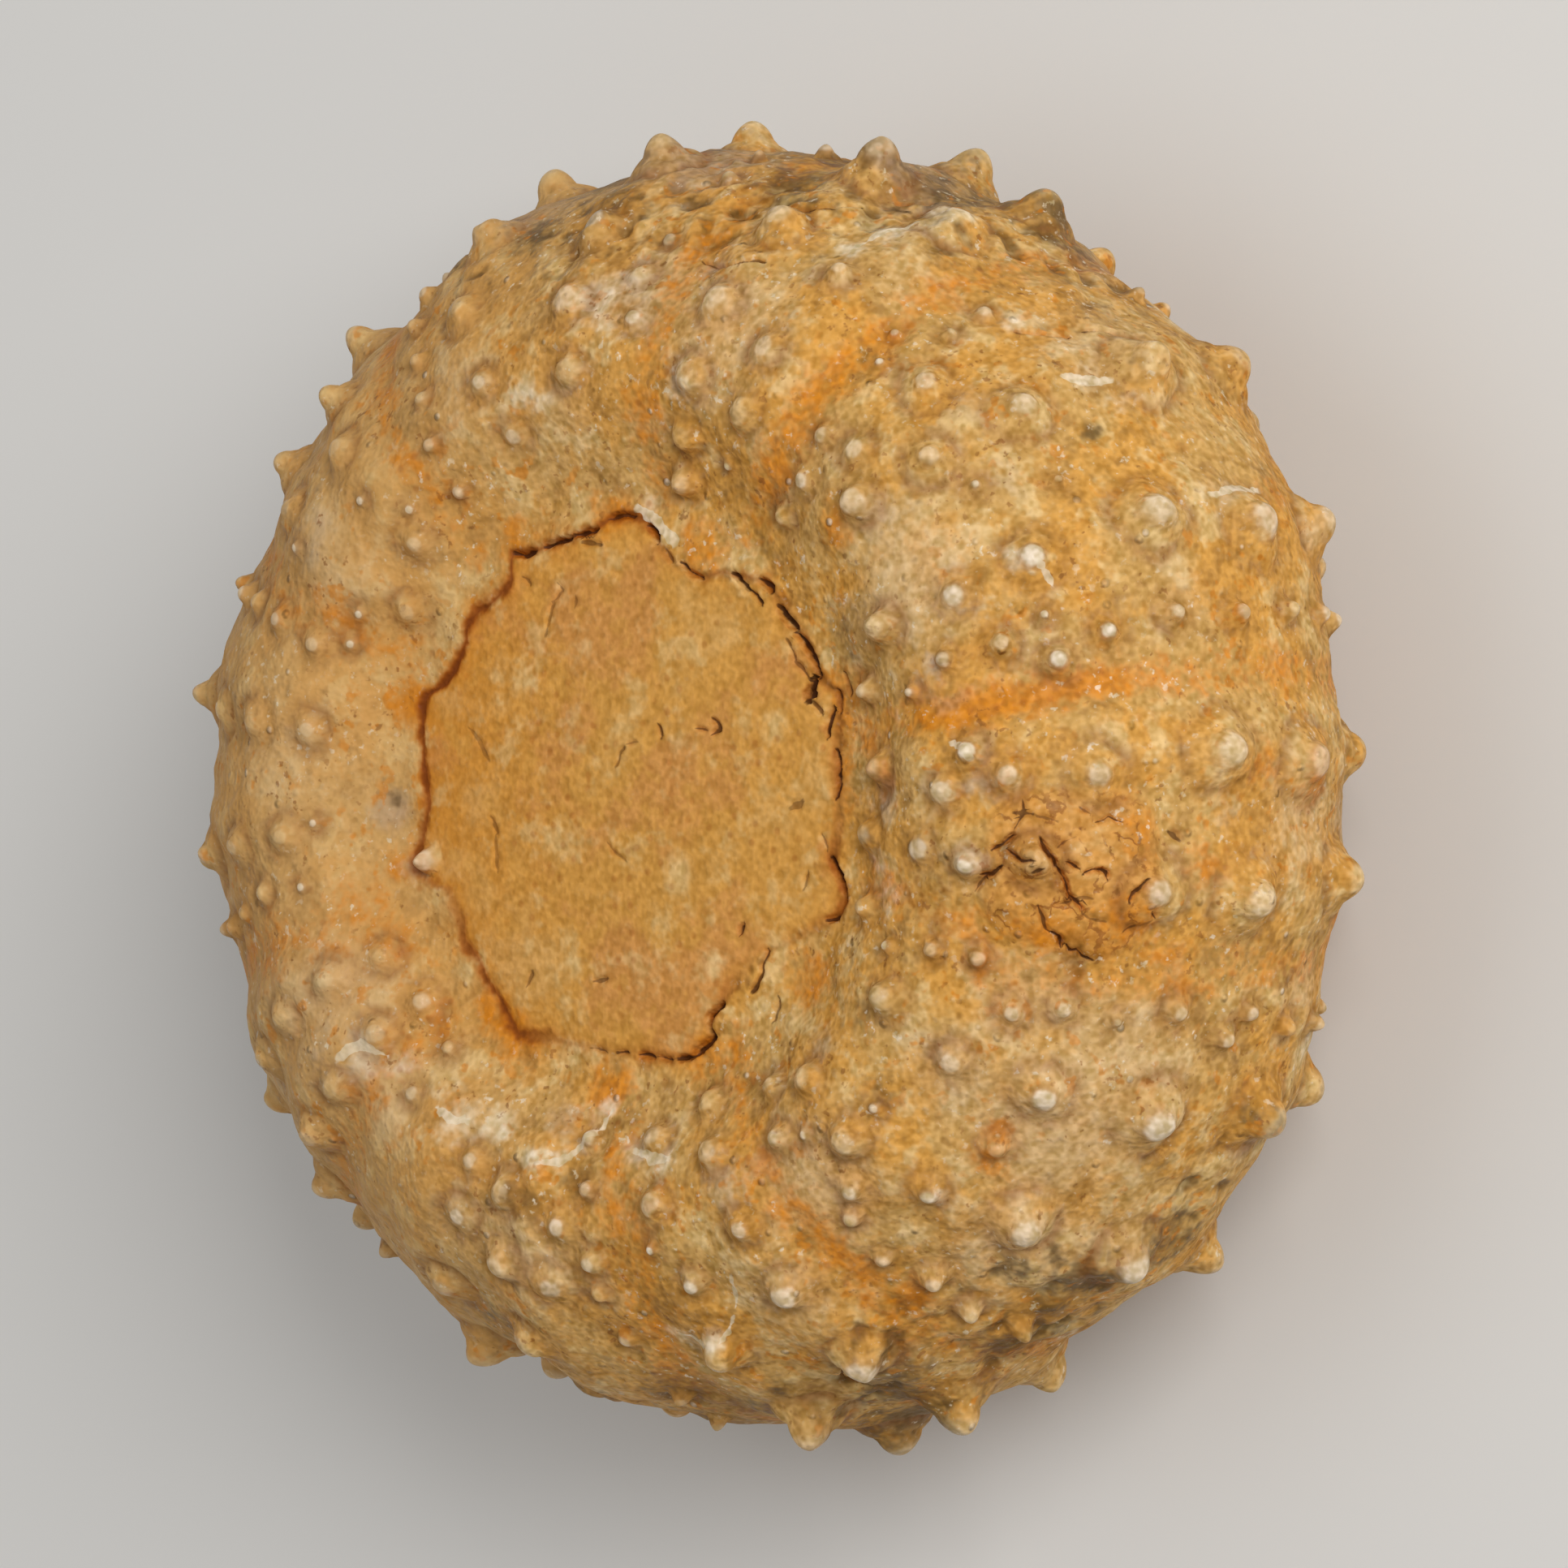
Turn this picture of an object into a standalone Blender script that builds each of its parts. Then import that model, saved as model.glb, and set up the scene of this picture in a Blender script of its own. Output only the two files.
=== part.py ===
"""A fossil sea urchin: a regular echinoid's test, filled with sediment and turned to one stone.

The test is a low bun with its round mouth upwards. Five ambulacra and five
interambulacra run from the mouth over the ambitus, its widest girdle, to the
underside. Each carries two alternating columns of large tubercles, and narrow
sunken pore zones part them. Hardened sediment closes the mouth with a nearly
flat face, and a crack runs round it. The underside is worn flat, and the stone
rests on it. All of it is one solid.

Every place on the test is given by two measures: the angle round the axis from
the first ambulacrum, which faces -Y, and the arc, the distance along the surface
from the middle of the mouth's fill.
"""

import math
import random
from typing import NamedTuple

import bmesh
import bpy
import numpy as np
from mathutils import Vector, noise

MM = 0.001
NODE_NAME = "fossil_sea_urchin"
SEED = 11

# The bun's profile, in millimetres. Heights are measured from the ambitus.
BODY_RADIUS = 18.0
CROWN_HEIGHT = 11.5
BELLY_DEPTH = 9.0
ROUNDNESS = 2.2
WORN_DEPTH = 0.35
FIVEFOLD_SWELL = 0.12
OFF_ROUND = 0.42
OFF_ROUND_ANGLE = math.radians(38)

# The mouth, its sediment fill and the crack round it, in millimetres.
MOUTH_LEVEL = 7.56
MOUTH_FUNNEL = 3.3
FILL_DOME = 0.25
FILL_UNEVENNESS = 0.25
CRACK_HALF_WIDTH = 0.30
CRACK_LIP = 0.45
CRACK_DEPTH = 0.35
# The crack's distance from the axis, every 15 degrees from the first ambulacrum.
MOUTH_RADII = (
    7.4, 7.3, 7.35, 7.4, 6.95, 7.1,
    7.5, 7.0, 7.2, 7.4, 7.1, 7.4,
    7.3, 7.7, 7.2, 7.2, 7.8, 7.5,
    7.45, 7.7, 7.1, 7.3, 7.9, 7.6,
)

# The columns of large tubercles, zone by zone: how many degrees the zone's middle
# line strays, how many degrees its two columns stand either side of that line, and
# the arc of one tubercle in each column, from which the column is set out.
AMBULACRA = (
    (0.0, 5.6, 18.3, 19.9),
    (0.0, 5.6, 20.4, 21.3),
    (0.5, 5.8, 20.3, 22.0),
    (3.0, 5.9, 19.4, 18.4),
    (0.0, 5.6, 20.6, 22.9),
)
INTERAMBULACRA = (
    (-1.0, 8.0, 18.9, 21.5),
    (0.0, 8.6, 20.4, 22.3),
    (2.5, 7.6, 18.2, 20.0),
    (-0.5, 5.4, 20.0, 20.6),
    (0.0, 8.7, 22.8, 20.2),
)

# The narrow pore zones between them.
PORE_ZONE = math.radians(13.2)
PORE_ZONE_HALF_WIDTH = math.radians(2.6)
PORE_ZONE_DEPTH = 0.24
COLUMN_RIDGE = 0.26
RIDGE_HALF_WIDTH = math.radians(4.2)
RIDGES_RISE = 6.5
AMBULACRUM_RIDGE = math.radians(5.6)
INTERAMBULACRUM_RIDGE = math.radians(8.6)

# Plates are shortest at the mouth and the underside, and tallest near the ambitus.
PLATE_SHORTEST = 1.5
PLATE_GROWTH = 2.6
TALLEST_PLATE_ARC = 22.5
GROWTH_TOWARDS_MOUTH = 7.0
GROWTH_TOWARDS_BASE = 10.0
FIRST_TUBERCLE = 1.2
LAST_TUBERCLE = 9.0

# A large tubercle's sizes: each is a least size plus a share of its plate's height.
REACH_LEAST, REACH_SHARE = 0.30, 0.33
HEIGHT_LEAST, HEIGHT_SHARE = 0.12, 0.26
KNOB_LEAST, KNOB_SHARE = 0.24, 0.075
WEAR_LOWEST, WEAR_HIGHEST = 0.78, 1.04
ANGLE_STRAY = math.radians(0.6)
ARC_STRAY = 0.1

# A tubercle's profile: a hollow flank takes this share of its height, and a round
# knob stands on it.
FLANK_SHARE = 0.62
FLANK_HOLLOW = 1.35
KNOB_BLUNTNESS = 0.62

# The small tubercles in a row along each pore zone, on the upper side only.
SMALL_ROW = math.radians(18.4)
SMALL_ROW_STRAY = math.radians(1.0)
SMALL_ROW_START = 1.2
SMALL_PITCH_SHARE = 0.5
SMALL_PITCH_LEAST = 1.45
SMALL_REACH = 0.66
SMALL_HEIGHT = 0.42
SMALL_KNOB = 0.24
LAST_SMALL = 33.0

# A crust of sediment stuck on the first ambulacrum: its middle, half sizes and height.
CRUST_ANGLE = math.radians(-6.0)
CRUST_ARC = 15.9
CRUST_HALF_ANGLE = math.radians(9.5)
CRUST_HALF_ARC = 2.6
CRUST_HEIGHT = 0.38
CRUST_STEEPNESS = 1.25

# The uneven ground between the tubercles.
LUMP_SIZE = 5.5
LUMP_HEIGHT = 0.30
GRIT_SIZE = 1.3
GRIT_HEIGHT = 0.09

# How closely the surface is sampled, and how many sides and rings of facets a
# tubercle has. A ring's reach is a share of the knob's plus a share of the flank's.
GROUND_SPACING = 1.6
CRACK_POINTS = 72
TUBERCLE_GAP, CRACK_GAP, PORE_GAP, GROUND_GAP = 0.22, 0.30, 0.85, 1.05
LARGE_TUBERCLE = 0.75
LARGE_FACETS = (7, ((0.6, 0.0), (1.0, 0.06), (0.0, 0.72)))
MEDIUM_TUBERCLE = 0.45
MEDIUM_FACETS = (6, ((0.75, 0.0), (0.0, 0.68)))
SMALL_FACETS = (5, ((0.0, 0.62),))

STONE_COLOUR = (0.56, 0.36, 0.16, 1.0)
STONE_ROUGHNESS = 0.72

ZONES = 5
ZONE_TURN = 2 * math.pi / ZONES
QUARTER_TURN = math.pi / 2
GOLDEN_TURN = math.pi * (3 - math.sqrt(5))
SLOPE_STEP = 0.05


class Tubercle(NamedTuple):
    """One tubercle: where it stands, and its reach, height and round knob."""

    angle: float
    arc: float
    reach: float
    height: float
    knob: float


def clear_scene():
    for old in list(bpy.data.objects):
        bpy.data.objects.remove(old)


# ---- the bun ----


def bun_height(radius, height):
    """Height of a superellipse arch over a point this far from the axis."""
    return height * (1 - (radius / BODY_RADIUS) ** ROUNDNESS) ** (1 / ROUNDNESS)


def bun_profile(samples=1440):
    """The profile from the mouth's middle to the underside's, as radius, height and arc."""
    turn = np.linspace(0, math.pi, samples + 1)
    radius = BODY_RADIUS * np.abs(np.sin(turn)) ** (2 / ROUNDNESS)
    radius[-1] = 0.0
    mouth = float(np.mean(MOUTH_RADII))
    crown = bun_height(radius, CROWN_HEIGHT)
    funnel = bun_height(mouth, CROWN_HEIGHT) - MOUTH_LEVEL
    crown = crown - funnel * np.exp(-(((radius - mouth) / MOUTH_FUNNEL) ** 2))
    fill = MOUTH_LEVEL + FILL_DOME * (1 - (radius / mouth) ** 2)
    crown = np.where(radius < mouth, fill, crown)
    height = np.where(turn <= QUARTER_TURN, crown, -bun_height(radius, BELLY_DEPTH))
    steps = np.hypot(np.diff(radius), np.diff(height))
    return radius, height, np.concatenate([[0.0], np.cumsum(steps)])


PROFILE_RADIUS, PROFILE_HEIGHT, PROFILE_ARC = bun_profile()
FULL_ARC = float(PROFILE_ARC[-1])
MOUTH = float(np.mean(MOUTH_RADII))


def bun_surface(angle, arc):
    """Points of the bare bun, in millimetres."""
    swell = -FIVEFOLD_SWELL * np.cos(ZONES * angle) - OFF_ROUND * np.cos(angle - OFF_ROUND_ANGLE)
    out = np.interp(arc, PROFILE_ARC, PROFILE_RADIUS)
    out = out + swell * np.sin(arc / FULL_ARC * math.pi) ** 2
    up = np.interp(arc, PROFILE_ARC, PROFILE_HEIGHT)
    turned = angle - QUARTER_TURN
    return np.stack([out * np.cos(turned), out * np.sin(turned), up], axis=-1)


def bun_outward(angle, arc):
    """Unit vectors straight out of the bare bun."""
    low = bun_surface(angle, np.minimum(arc + SLOPE_STEP, FULL_ARC))
    high = bun_surface(angle, np.maximum(arc - SLOPE_STEP, 0))
    turned = angle - QUARTER_TURN
    around = np.stack([-np.sin(turned), np.cos(turned), 0 * angle], axis=-1)
    outward = np.cross(low - high, around)
    return outward / np.linalg.norm(outward, axis=1)[:, None]


def wrapped(angle):
    """An angle brought between minus and plus half a turn."""
    return (angle + math.pi) % (2 * math.pi) - math.pi


def mouth_radius(angle):
    """The crack's distance from the axis in this direction."""
    around = np.arange(len(MOUTH_RADII) + 1) * (2 * math.pi / len(MOUTH_RADII))
    radii = np.array(MOUTH_RADII + MOUTH_RADII[:1])
    return np.interp(angle % (2 * math.pi), around, radii)


# ---- the tubercles ----


def plate_height(arc):
    """How tall a plate is at this distance along the surface."""
    reach = GROWTH_TOWARDS_MOUTH if arc < TALLEST_PLATE_ARC else GROWTH_TOWARDS_BASE
    return PLATE_SHORTEST + PLATE_GROWTH * math.exp(-(((arc - TALLEST_PLATE_ARC) / reach) ** 2))


def column_arcs(start, first, last):
    """Where the tubercles of one column stand, plate by plate both ways from one of them."""
    arcs = [start]
    while arcs[-1] + plate_height(arcs[-1]) < last:
        arcs.append(arcs[-1] + plate_height(arcs[-1]))
    while arcs[0] - plate_height(arcs[0]) > first:
        arcs.insert(0, arcs[0] - plate_height(arcs[0]))
    return arcs


def large_tubercle(angle, arc, wear):
    """A large tubercle sized by its plate, and worn lower by a share of its height."""
    plate = plate_height(arc)
    reach = REACH_LEAST + REACH_SHARE * plate
    height = (HEIGHT_LEAST + HEIGHT_SHARE * plate) * wear
    knob = KNOB_LEAST + KNOB_SHARE * plate
    return Tubercle(angle, arc, reach, height, knob)


def zone_tubercles(middle, zone, first, chance):
    """The two alternating columns of large tubercles of one zone."""
    stray, spread, *starts = zone
    found = []
    for side, start in zip((-1, 1), starts):
        column = middle + math.radians(stray + side * spread)
        for arc in column_arcs(start, first, FULL_ARC - LAST_TUBERCLE):
            angle = column + chance.uniform(-ANGLE_STRAY, ANGLE_STRAY)
            place = arc + chance.uniform(-ARC_STRAY, ARC_STRAY)
            wear = chance.uniform(WEAR_LOWEST, WEAR_HIGHEST)
            found.append(large_tubercle(angle, place, wear))
    return found


def row_tubercles(angle, chance):
    """One row of small tubercles along a pore zone."""
    found = []
    arc = MOUTH + FIRST_TUBERCLE + SMALL_ROW_START * chance.uniform(0.7, 1.3)
    while arc < LAST_SMALL:
        stray = chance.uniform(-SMALL_ROW_STRAY, SMALL_ROW_STRAY)
        share = chance.uniform(0.7, 1.15)
        reach = SMALL_REACH * share
        height = SMALL_HEIGHT * share
        found.append(Tubercle(angle + stray, arc, reach, height, SMALL_KNOB))
        pitch = max(SMALL_PITCH_LEAST, SMALL_PITCH_SHARE * plate_height(arc))
        arc += pitch * chance.uniform(0.9, 1.2)
    return found


def all_tubercles():
    """Every tubercle of the test, zone by zone."""
    chance = random.Random(SEED)
    first = MOUTH + FIRST_TUBERCLE
    found = []
    for zone in range(ZONES):
        middle = zone * ZONE_TURN
        between = middle + ZONE_TURN / 2
        found += zone_tubercles(middle, AMBULACRA[zone], first, chance)
        found += zone_tubercles(between, INTERAMBULACRA[zone], first + 2.0, chance)
        for side in (-1, 1):
            found += row_tubercles(middle + side * SMALL_ROW, chance)
    return found


def tubercle_profile(distance, tubercle):
    """Height of a tubercle's concave flank and the knob on it, at a distance from its middle."""
    share = np.clip(1 - distance / tubercle.reach, 0, 1)
    flank = FLANK_SHARE * share**FLANK_HOLLOW
    inside = np.clip(1 - (distance / tubercle.knob) ** 2, 0, 1)
    knob = (1 - FLANK_SHARE) * inside**KNOB_BLUNTNESS
    return tubercle.height * (flank + knob)


# ---- the relief over the bun ----


def zone_relief(angle, arc):
    """Ridges along the columns of tubercles, and the sunken pore zones between the zones."""
    from_middle = np.abs(wrapped(angle * ZONES) / ZONES)
    fade = np.clip((arc - MOUTH) / RIDGES_RISE, 0, 1)
    pores = np.exp(-(((from_middle - PORE_ZONE) / PORE_ZONE_HALF_WIDTH) ** 2))
    ambulacral = (from_middle - AMBULACRUM_RIDGE) / RIDGE_HALF_WIDTH
    interambulacral = (ZONE_TURN / 2 - from_middle - INTERAMBULACRUM_RIDGE) / RIDGE_HALF_WIDTH
    ridges = np.exp(-(ambulacral**2)) + np.exp(-(interambulacral**2))
    return fade * (COLUMN_RIDGE * ridges - PORE_ZONE_DEPTH * pores)


def crust_relief(angle, arc):
    """The crust of sediment stuck between the first ambulacrum's tubercles."""
    across = wrapped(angle - CRUST_ANGLE) / CRUST_HALF_ANGLE
    along = (arc - CRUST_ARC) / CRUST_HALF_ARC
    return CRUST_HEIGHT * np.clip(CRUST_STEEPNESS * (1 - (across**4 + along**4)), 0, 1)


def uneven_ground(points):
    """Broad lumps and grit on the stone, the same each time."""
    return np.array(
        [
            LUMP_HEIGHT * noise.noise(Vector(point) / LUMP_SIZE)
            + GRIT_HEIGHT * noise.noise(Vector(point) / GRIT_SIZE)
            for point in points
        ]
    )


def tubercle_relief(points, tubercles):
    """The highest tubercle over each point."""
    middles = bun_surface(
        np.array([t.angle for t in tubercles]), np.array([t.arc for t in tubercles])
    )
    relief = np.zeros(len(points))
    for middle, tubercle in zip(middles, tubercles):
        distance = np.linalg.norm(points - middle, axis=1)
        near = distance < tubercle.reach
        relief[near] = np.maximum(relief[near], tubercle_profile(distance[near], tubercle))
    return relief


def raised(angle, arc, tubercles):
    """The stone's surface points, in millimetres: the bun with all its relief."""
    base = bun_surface(angle, arc)
    relief = zone_relief(angle, arc) + uneven_ground(base)
    relief = np.maximum(relief, relief / 2 + crust_relief(angle, arc))
    relief += tubercle_relief(base, tubercles)
    from_crack = arc - mouth_radius(angle)
    relief *= np.where(from_crack < 0, FILL_UNEVENNESS, 1.0)
    relief -= CRACK_DEPTH * np.exp(-((from_crack / CRACK_HALF_WIDTH) ** 2))
    return base + bun_outward(angle, arc) * relief[:, None]


# ---- the points that the facets join ----


def around_tubercle(tubercle):
    """A point on a tubercle's tip and rings of points on its knob and flank."""
    sides, rings = SMALL_FACETS
    if tubercle.height > MEDIUM_TUBERCLE:
        sides, rings = MEDIUM_FACETS
    if tubercle.height > LARGE_TUBERCLE:
        sides, rings = LARGE_FACETS
    rings = [knob * tubercle.knob + flank * tubercle.reach for knob, flank in rings]
    out = float(np.interp(tubercle.arc, PROFILE_ARC, PROFILE_RADIUS))
    places = [(tubercle.angle, tubercle.arc)]
    for count, distance in enumerate(rings):
        for side in range(sides):
            turn = 2 * math.pi * (side + count / 2) / sides
            angle = tubercle.angle + distance * math.sin(turn) / out
            places.append((angle, tubercle.arc + distance * math.cos(turn)))
    return places


def along_crack():
    """Points on the crack's floor and on both of its lips."""
    places = []
    for step in range(CRACK_POINTS):
        angle = 2 * math.pi * step / CRACK_POINTS
        line = float(mouth_radius(np.array(angle)))
        places += [(angle, line + lip) for lip in (-CRACK_LIP, 0, CRACK_LIP)]
    return places


def along_pore_zones():
    """Points on the floor of each pore zone."""
    places = []
    for zone in range(ZONES):
        for side in (-1, 1):
            arc = MOUTH + FIRST_TUBERCLE
            while arc < FULL_ARC - LAST_TUBERCLE:
                places.append((zone * ZONE_TURN + side * PORE_ZONE, arc))
                arc += GROUND_SPACING
    return places


def over_ground():
    """Evenly spread points over the whole bun, in a spiral."""
    area = 4 * math.pi * (FULL_ARC / math.pi) ** 2
    count = int(area / GROUND_SPACING**2)
    return [
        (step * GOLDEN_TURN, math.acos(1 - 2 * (step + 0.5) / count) / math.pi * FULL_ARC)
        for step in range(count)
    ]


def ball_points(places):
    """The places as points of a unit ball, which joins them by its hull."""
    angle = np.array([place[0] for place in places]) - QUARTER_TURN
    turn = np.array([place[1] for place in places]) / FULL_ARC * math.pi
    return np.stack(
        [np.sin(turn) * np.cos(angle), np.sin(turn) * np.sin(angle), np.cos(turn)], axis=-1
    )


def well_spaced(places, closest):
    """The places in order, leaving out each one that is too close to one before it."""
    points = ball_points(places) * FULL_ARC / math.pi
    kept = []
    for index, point in enumerate(points):
        gaps = np.linalg.norm(points[kept] - point, axis=1) if kept else np.array([closest[index]])
        if gaps.min() >= closest[index]:
            kept.append(index)
    return [places[index] for index in kept]


def all_places(tubercles):
    """Every place where the facets meet, the important ones first."""
    on_tubercles = [place for tubercle in tubercles for place in around_tubercle(tubercle)]
    groups = (
        (on_tubercles, TUBERCLE_GAP),
        (along_crack(), CRACK_GAP),
        (along_pore_zones(), PORE_GAP),
        (over_ground(), GROUND_GAP),
    )
    places = [place for group, gap in groups for place in group]
    closest = [gap for group, gap in groups for place in group]
    return well_spaced(places, closest)


# ---- the solid ----


def worn_flat(points):
    """Wears the underside off level, and puts that level at height nought."""
    level = WORN_DEPTH - BELLY_DEPTH
    points = points.copy()
    points[:, 2] = np.maximum(points[:, 2], level) - level
    return points


def stone_mesh():
    """The closed mesh: the places joined on a ball, and then moved to the stone's surface."""
    tubercles = all_tubercles()
    places = all_places(tubercles)
    angle = np.array([place[0] for place in places])
    arc = np.array([place[1] for place in places])
    surface = worn_flat(raised(angle, arc, tubercles)) * MM

    shape = bmesh.new()
    joined = [shape.verts.new(point) for point in ball_points(places)]
    bmesh.ops.convex_hull(shape, input=joined)
    shape.verts.index_update()
    for vertex, point in zip(joined, surface):
        vertex.co = point
    bmesh.ops.recalc_face_normals(shape, faces=shape.faces)
    mesh = bpy.data.meshes.new(NODE_NAME)
    shape.to_mesh(mesh)
    shape.free()
    mesh.shade_smooth()
    return mesh


def stone_material():
    material = bpy.data.materials.new("fossil_limestone")
    material.use_nodes = True
    shader = material.node_tree.nodes["Principled BSDF"]
    shader.inputs["Base Color"].default_value = STONE_COLOUR
    shader.inputs["Roughness"].default_value = STONE_ROUGHNESS
    shader.inputs["Metallic"].default_value = 0.0
    return material


def build():
    clear_scene()
    home = bpy.data.collections.new(NODE_NAME)
    bpy.context.scene.collection.children.link(home)
    stone = bpy.data.objects.new(NODE_NAME, stone_mesh())
    stone.data.materials.append(stone_material())
    home.objects.link(stone)
    return stone


build()
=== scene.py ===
"""A fossil sea urchin, finished: its weathered stone in full relief, and the stage it stands on.

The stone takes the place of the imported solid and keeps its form. Every place on it is
given by two measures, as in the solid: the angle round the axis from the first
ambulacrum, which faces -Y, and the arc, the distance along the surface from the middle
of the mouth's fill. Sizes on the stone are in millimetres, and Blender's are in metres.
"""

import math
import random
from typing import NamedTuple

import bpy
import numpy as np
from bpy.props import FloatProperty, FloatVectorProperty, PointerProperty
from mathutils import Matrix, Vector, noise
from mathutils.kdtree import KDTree


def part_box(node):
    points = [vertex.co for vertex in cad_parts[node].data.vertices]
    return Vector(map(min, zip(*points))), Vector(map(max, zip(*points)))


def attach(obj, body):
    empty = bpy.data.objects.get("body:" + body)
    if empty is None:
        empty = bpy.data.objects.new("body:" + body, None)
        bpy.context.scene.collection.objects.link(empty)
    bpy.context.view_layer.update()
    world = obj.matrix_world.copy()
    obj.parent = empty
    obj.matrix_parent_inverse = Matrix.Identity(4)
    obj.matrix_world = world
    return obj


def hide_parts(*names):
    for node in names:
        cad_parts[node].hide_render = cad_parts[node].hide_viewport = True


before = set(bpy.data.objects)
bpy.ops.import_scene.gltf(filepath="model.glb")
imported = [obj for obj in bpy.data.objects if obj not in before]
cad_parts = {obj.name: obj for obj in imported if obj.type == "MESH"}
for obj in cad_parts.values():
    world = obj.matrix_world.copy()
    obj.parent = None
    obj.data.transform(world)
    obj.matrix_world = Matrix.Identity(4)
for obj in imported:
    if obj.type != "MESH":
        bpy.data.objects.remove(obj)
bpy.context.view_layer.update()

bl_info = {
    "name": "Fossil sea urchin",
    "version": (1, 0, 0),
    "blender": (4, 5, 0),
    "location": "3D View > Sidebar > Fossil",
    "description": "Makes a fossil sea urchin with its tubercles, cracks and stains, and a stage for it",
    "category": "Add Mesh",
}

MM = 0.001
NODE = "fossil_sea_urchin"
BASE_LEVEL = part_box(NODE)[0].z
SEED = 11

ZONES = 5
ZONE_TURN = 2 * math.pi / ZONES
QUARTER_TURN = math.pi / 2
SLOPE_STEP = 0.05

# ---- the solid's own sizes, in millimetres and degrees ----

BODY_RADIUS = 18.0
CROWN_HEIGHT = 11.5
BELLY_DEPTH = 9.0
ROUNDNESS = 2.2
WORN_DEPTH = 0.35
FIVEFOLD_SWELL = 0.12
OFF_ROUND = 0.42
OFF_ROUND_ANGLE = math.radians(38)

MOUTH_LEVEL = 7.56
MOUTH_FUNNEL = 3.3
FILL_DOME = 0.25
# The mouth crack's distance from the axis, every 15 degrees from the first ambulacrum.
MOUTH_RADII = (
    7.4, 7.3, 7.35, 7.4, 6.95, 7.1,
    7.5, 7.0, 7.2, 7.4, 7.1, 7.4,
    7.3, 7.7, 7.2, 7.2, 7.8, 7.5,
    7.45, 7.7, 7.1, 7.3, 7.9, 7.6,
)

# The columns of large tubercles, zone by zone: how many degrees the zone's middle
# line strays, how many degrees its two columns stand either side of that line, and
# the arc of one tubercle in each column, from which the column is set out.
AMBULACRA = (
    (0.0, 5.6, 18.3, 19.9),
    (0.0, 5.6, 20.4, 21.3),
    (0.5, 5.8, 20.3, 22.0),
    (3.0, 5.9, 19.4, 18.4),
    (0.0, 5.6, 20.6, 22.9),
)
INTERAMBULACRA = (
    (-1.0, 8.0, 18.9, 21.5),
    (0.0, 8.6, 20.4, 22.3),
    (2.5, 7.6, 18.2, 20.0),
    (-0.5, 5.4, 20.0, 20.6),
    (0.0, 8.7, 22.8, 20.2),
)

# The sunken pore zones, and the ridges that carry the columns of large tubercles.
PORE_ZONE = math.radians(13.2)
PORE_ZONE_HALF_WIDTH = math.radians(2.6)
PORE_ZONE_DEPTH = 0.24
COLUMN_RIDGE = 0.26
RIDGE_HALF_WIDTH = math.radians(4.2)
RIDGES_RISE = 6.5
AMBULACRUM_RIDGE = math.radians(5.6)
INTERAMBULACRUM_RIDGE = math.radians(8.6)

# Plates are shortest at the mouth and the underside, and tallest near the widest girdle.
PLATE_SHORTEST = 1.5
PLATE_GROWTH = 2.6
TALLEST_PLATE_ARC = 22.5
GROWTH_TOWARDS_MOUTH = 7.0
GROWTH_TOWARDS_BASE = 10.0
FIRST_TUBERCLE = 1.2
LAST_TUBERCLE = 9.0
INTERAMBULACRUM_START = 2.0

# A large tubercle's sizes: each is a least size plus a share of its plate's height.
REACH_LEAST, REACH_SHARE = 0.30, 0.33
HEIGHT_LEAST, HEIGHT_SHARE = 0.12, 0.26
KNOB_LEAST, KNOB_SHARE = 0.24, 0.075
WEAR_LOWEST, WEAR_HIGHEST = 0.78, 1.04
ANGLE_STRAY = math.radians(0.6)
ARC_STRAY = 0.1

# The rows of small tubercles along the pore zones, and how their places and sizes stray.
SMALL_ROW = math.radians(18.4)
SMALL_ROW_STRAY = math.radians(1.0)
SMALL_ROW_START = 1.2
SMALL_PITCH_SHARE = 0.5
SMALL_PITCH_LEAST = 1.45
SMALL_REACH = 0.66
SMALL_HEIGHT = 0.42
SMALL_KNOB = 0.24
LAST_SMALL = 33.0
SMALL_START_SPREAD = (0.7, 1.3)
SMALL_SIZE_SPREAD = (0.7, 1.15)
SMALL_PITCH_SPREAD = (0.9, 1.2)

# The crust of sediment stuck on the first ambulacrum.
CRUST_ANGLE = math.radians(-6.0)
CRUST_ARC = 15.9
CRUST_HALF_ANGLE = math.radians(9.5)
CRUST_HALF_ARC = 2.6
CRUST_HEIGHT = 0.38
CRUST_STEEPNESS = 1.25
CRUST_ROUGHNESS = 0.45

# The uneven ground between the tubercles, and how much of it is left in the mouth's fill.
LUMP_SIZE = 5.5
LUMP_HEIGHT = 0.30
GRIT_SIZE = 1.3
GRIT_HEIGHT = 0.09
FILL_UNEVENNESS = 0.25
FILL_EDGE = 1.2

# ---- what the finished stone adds ----

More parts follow.
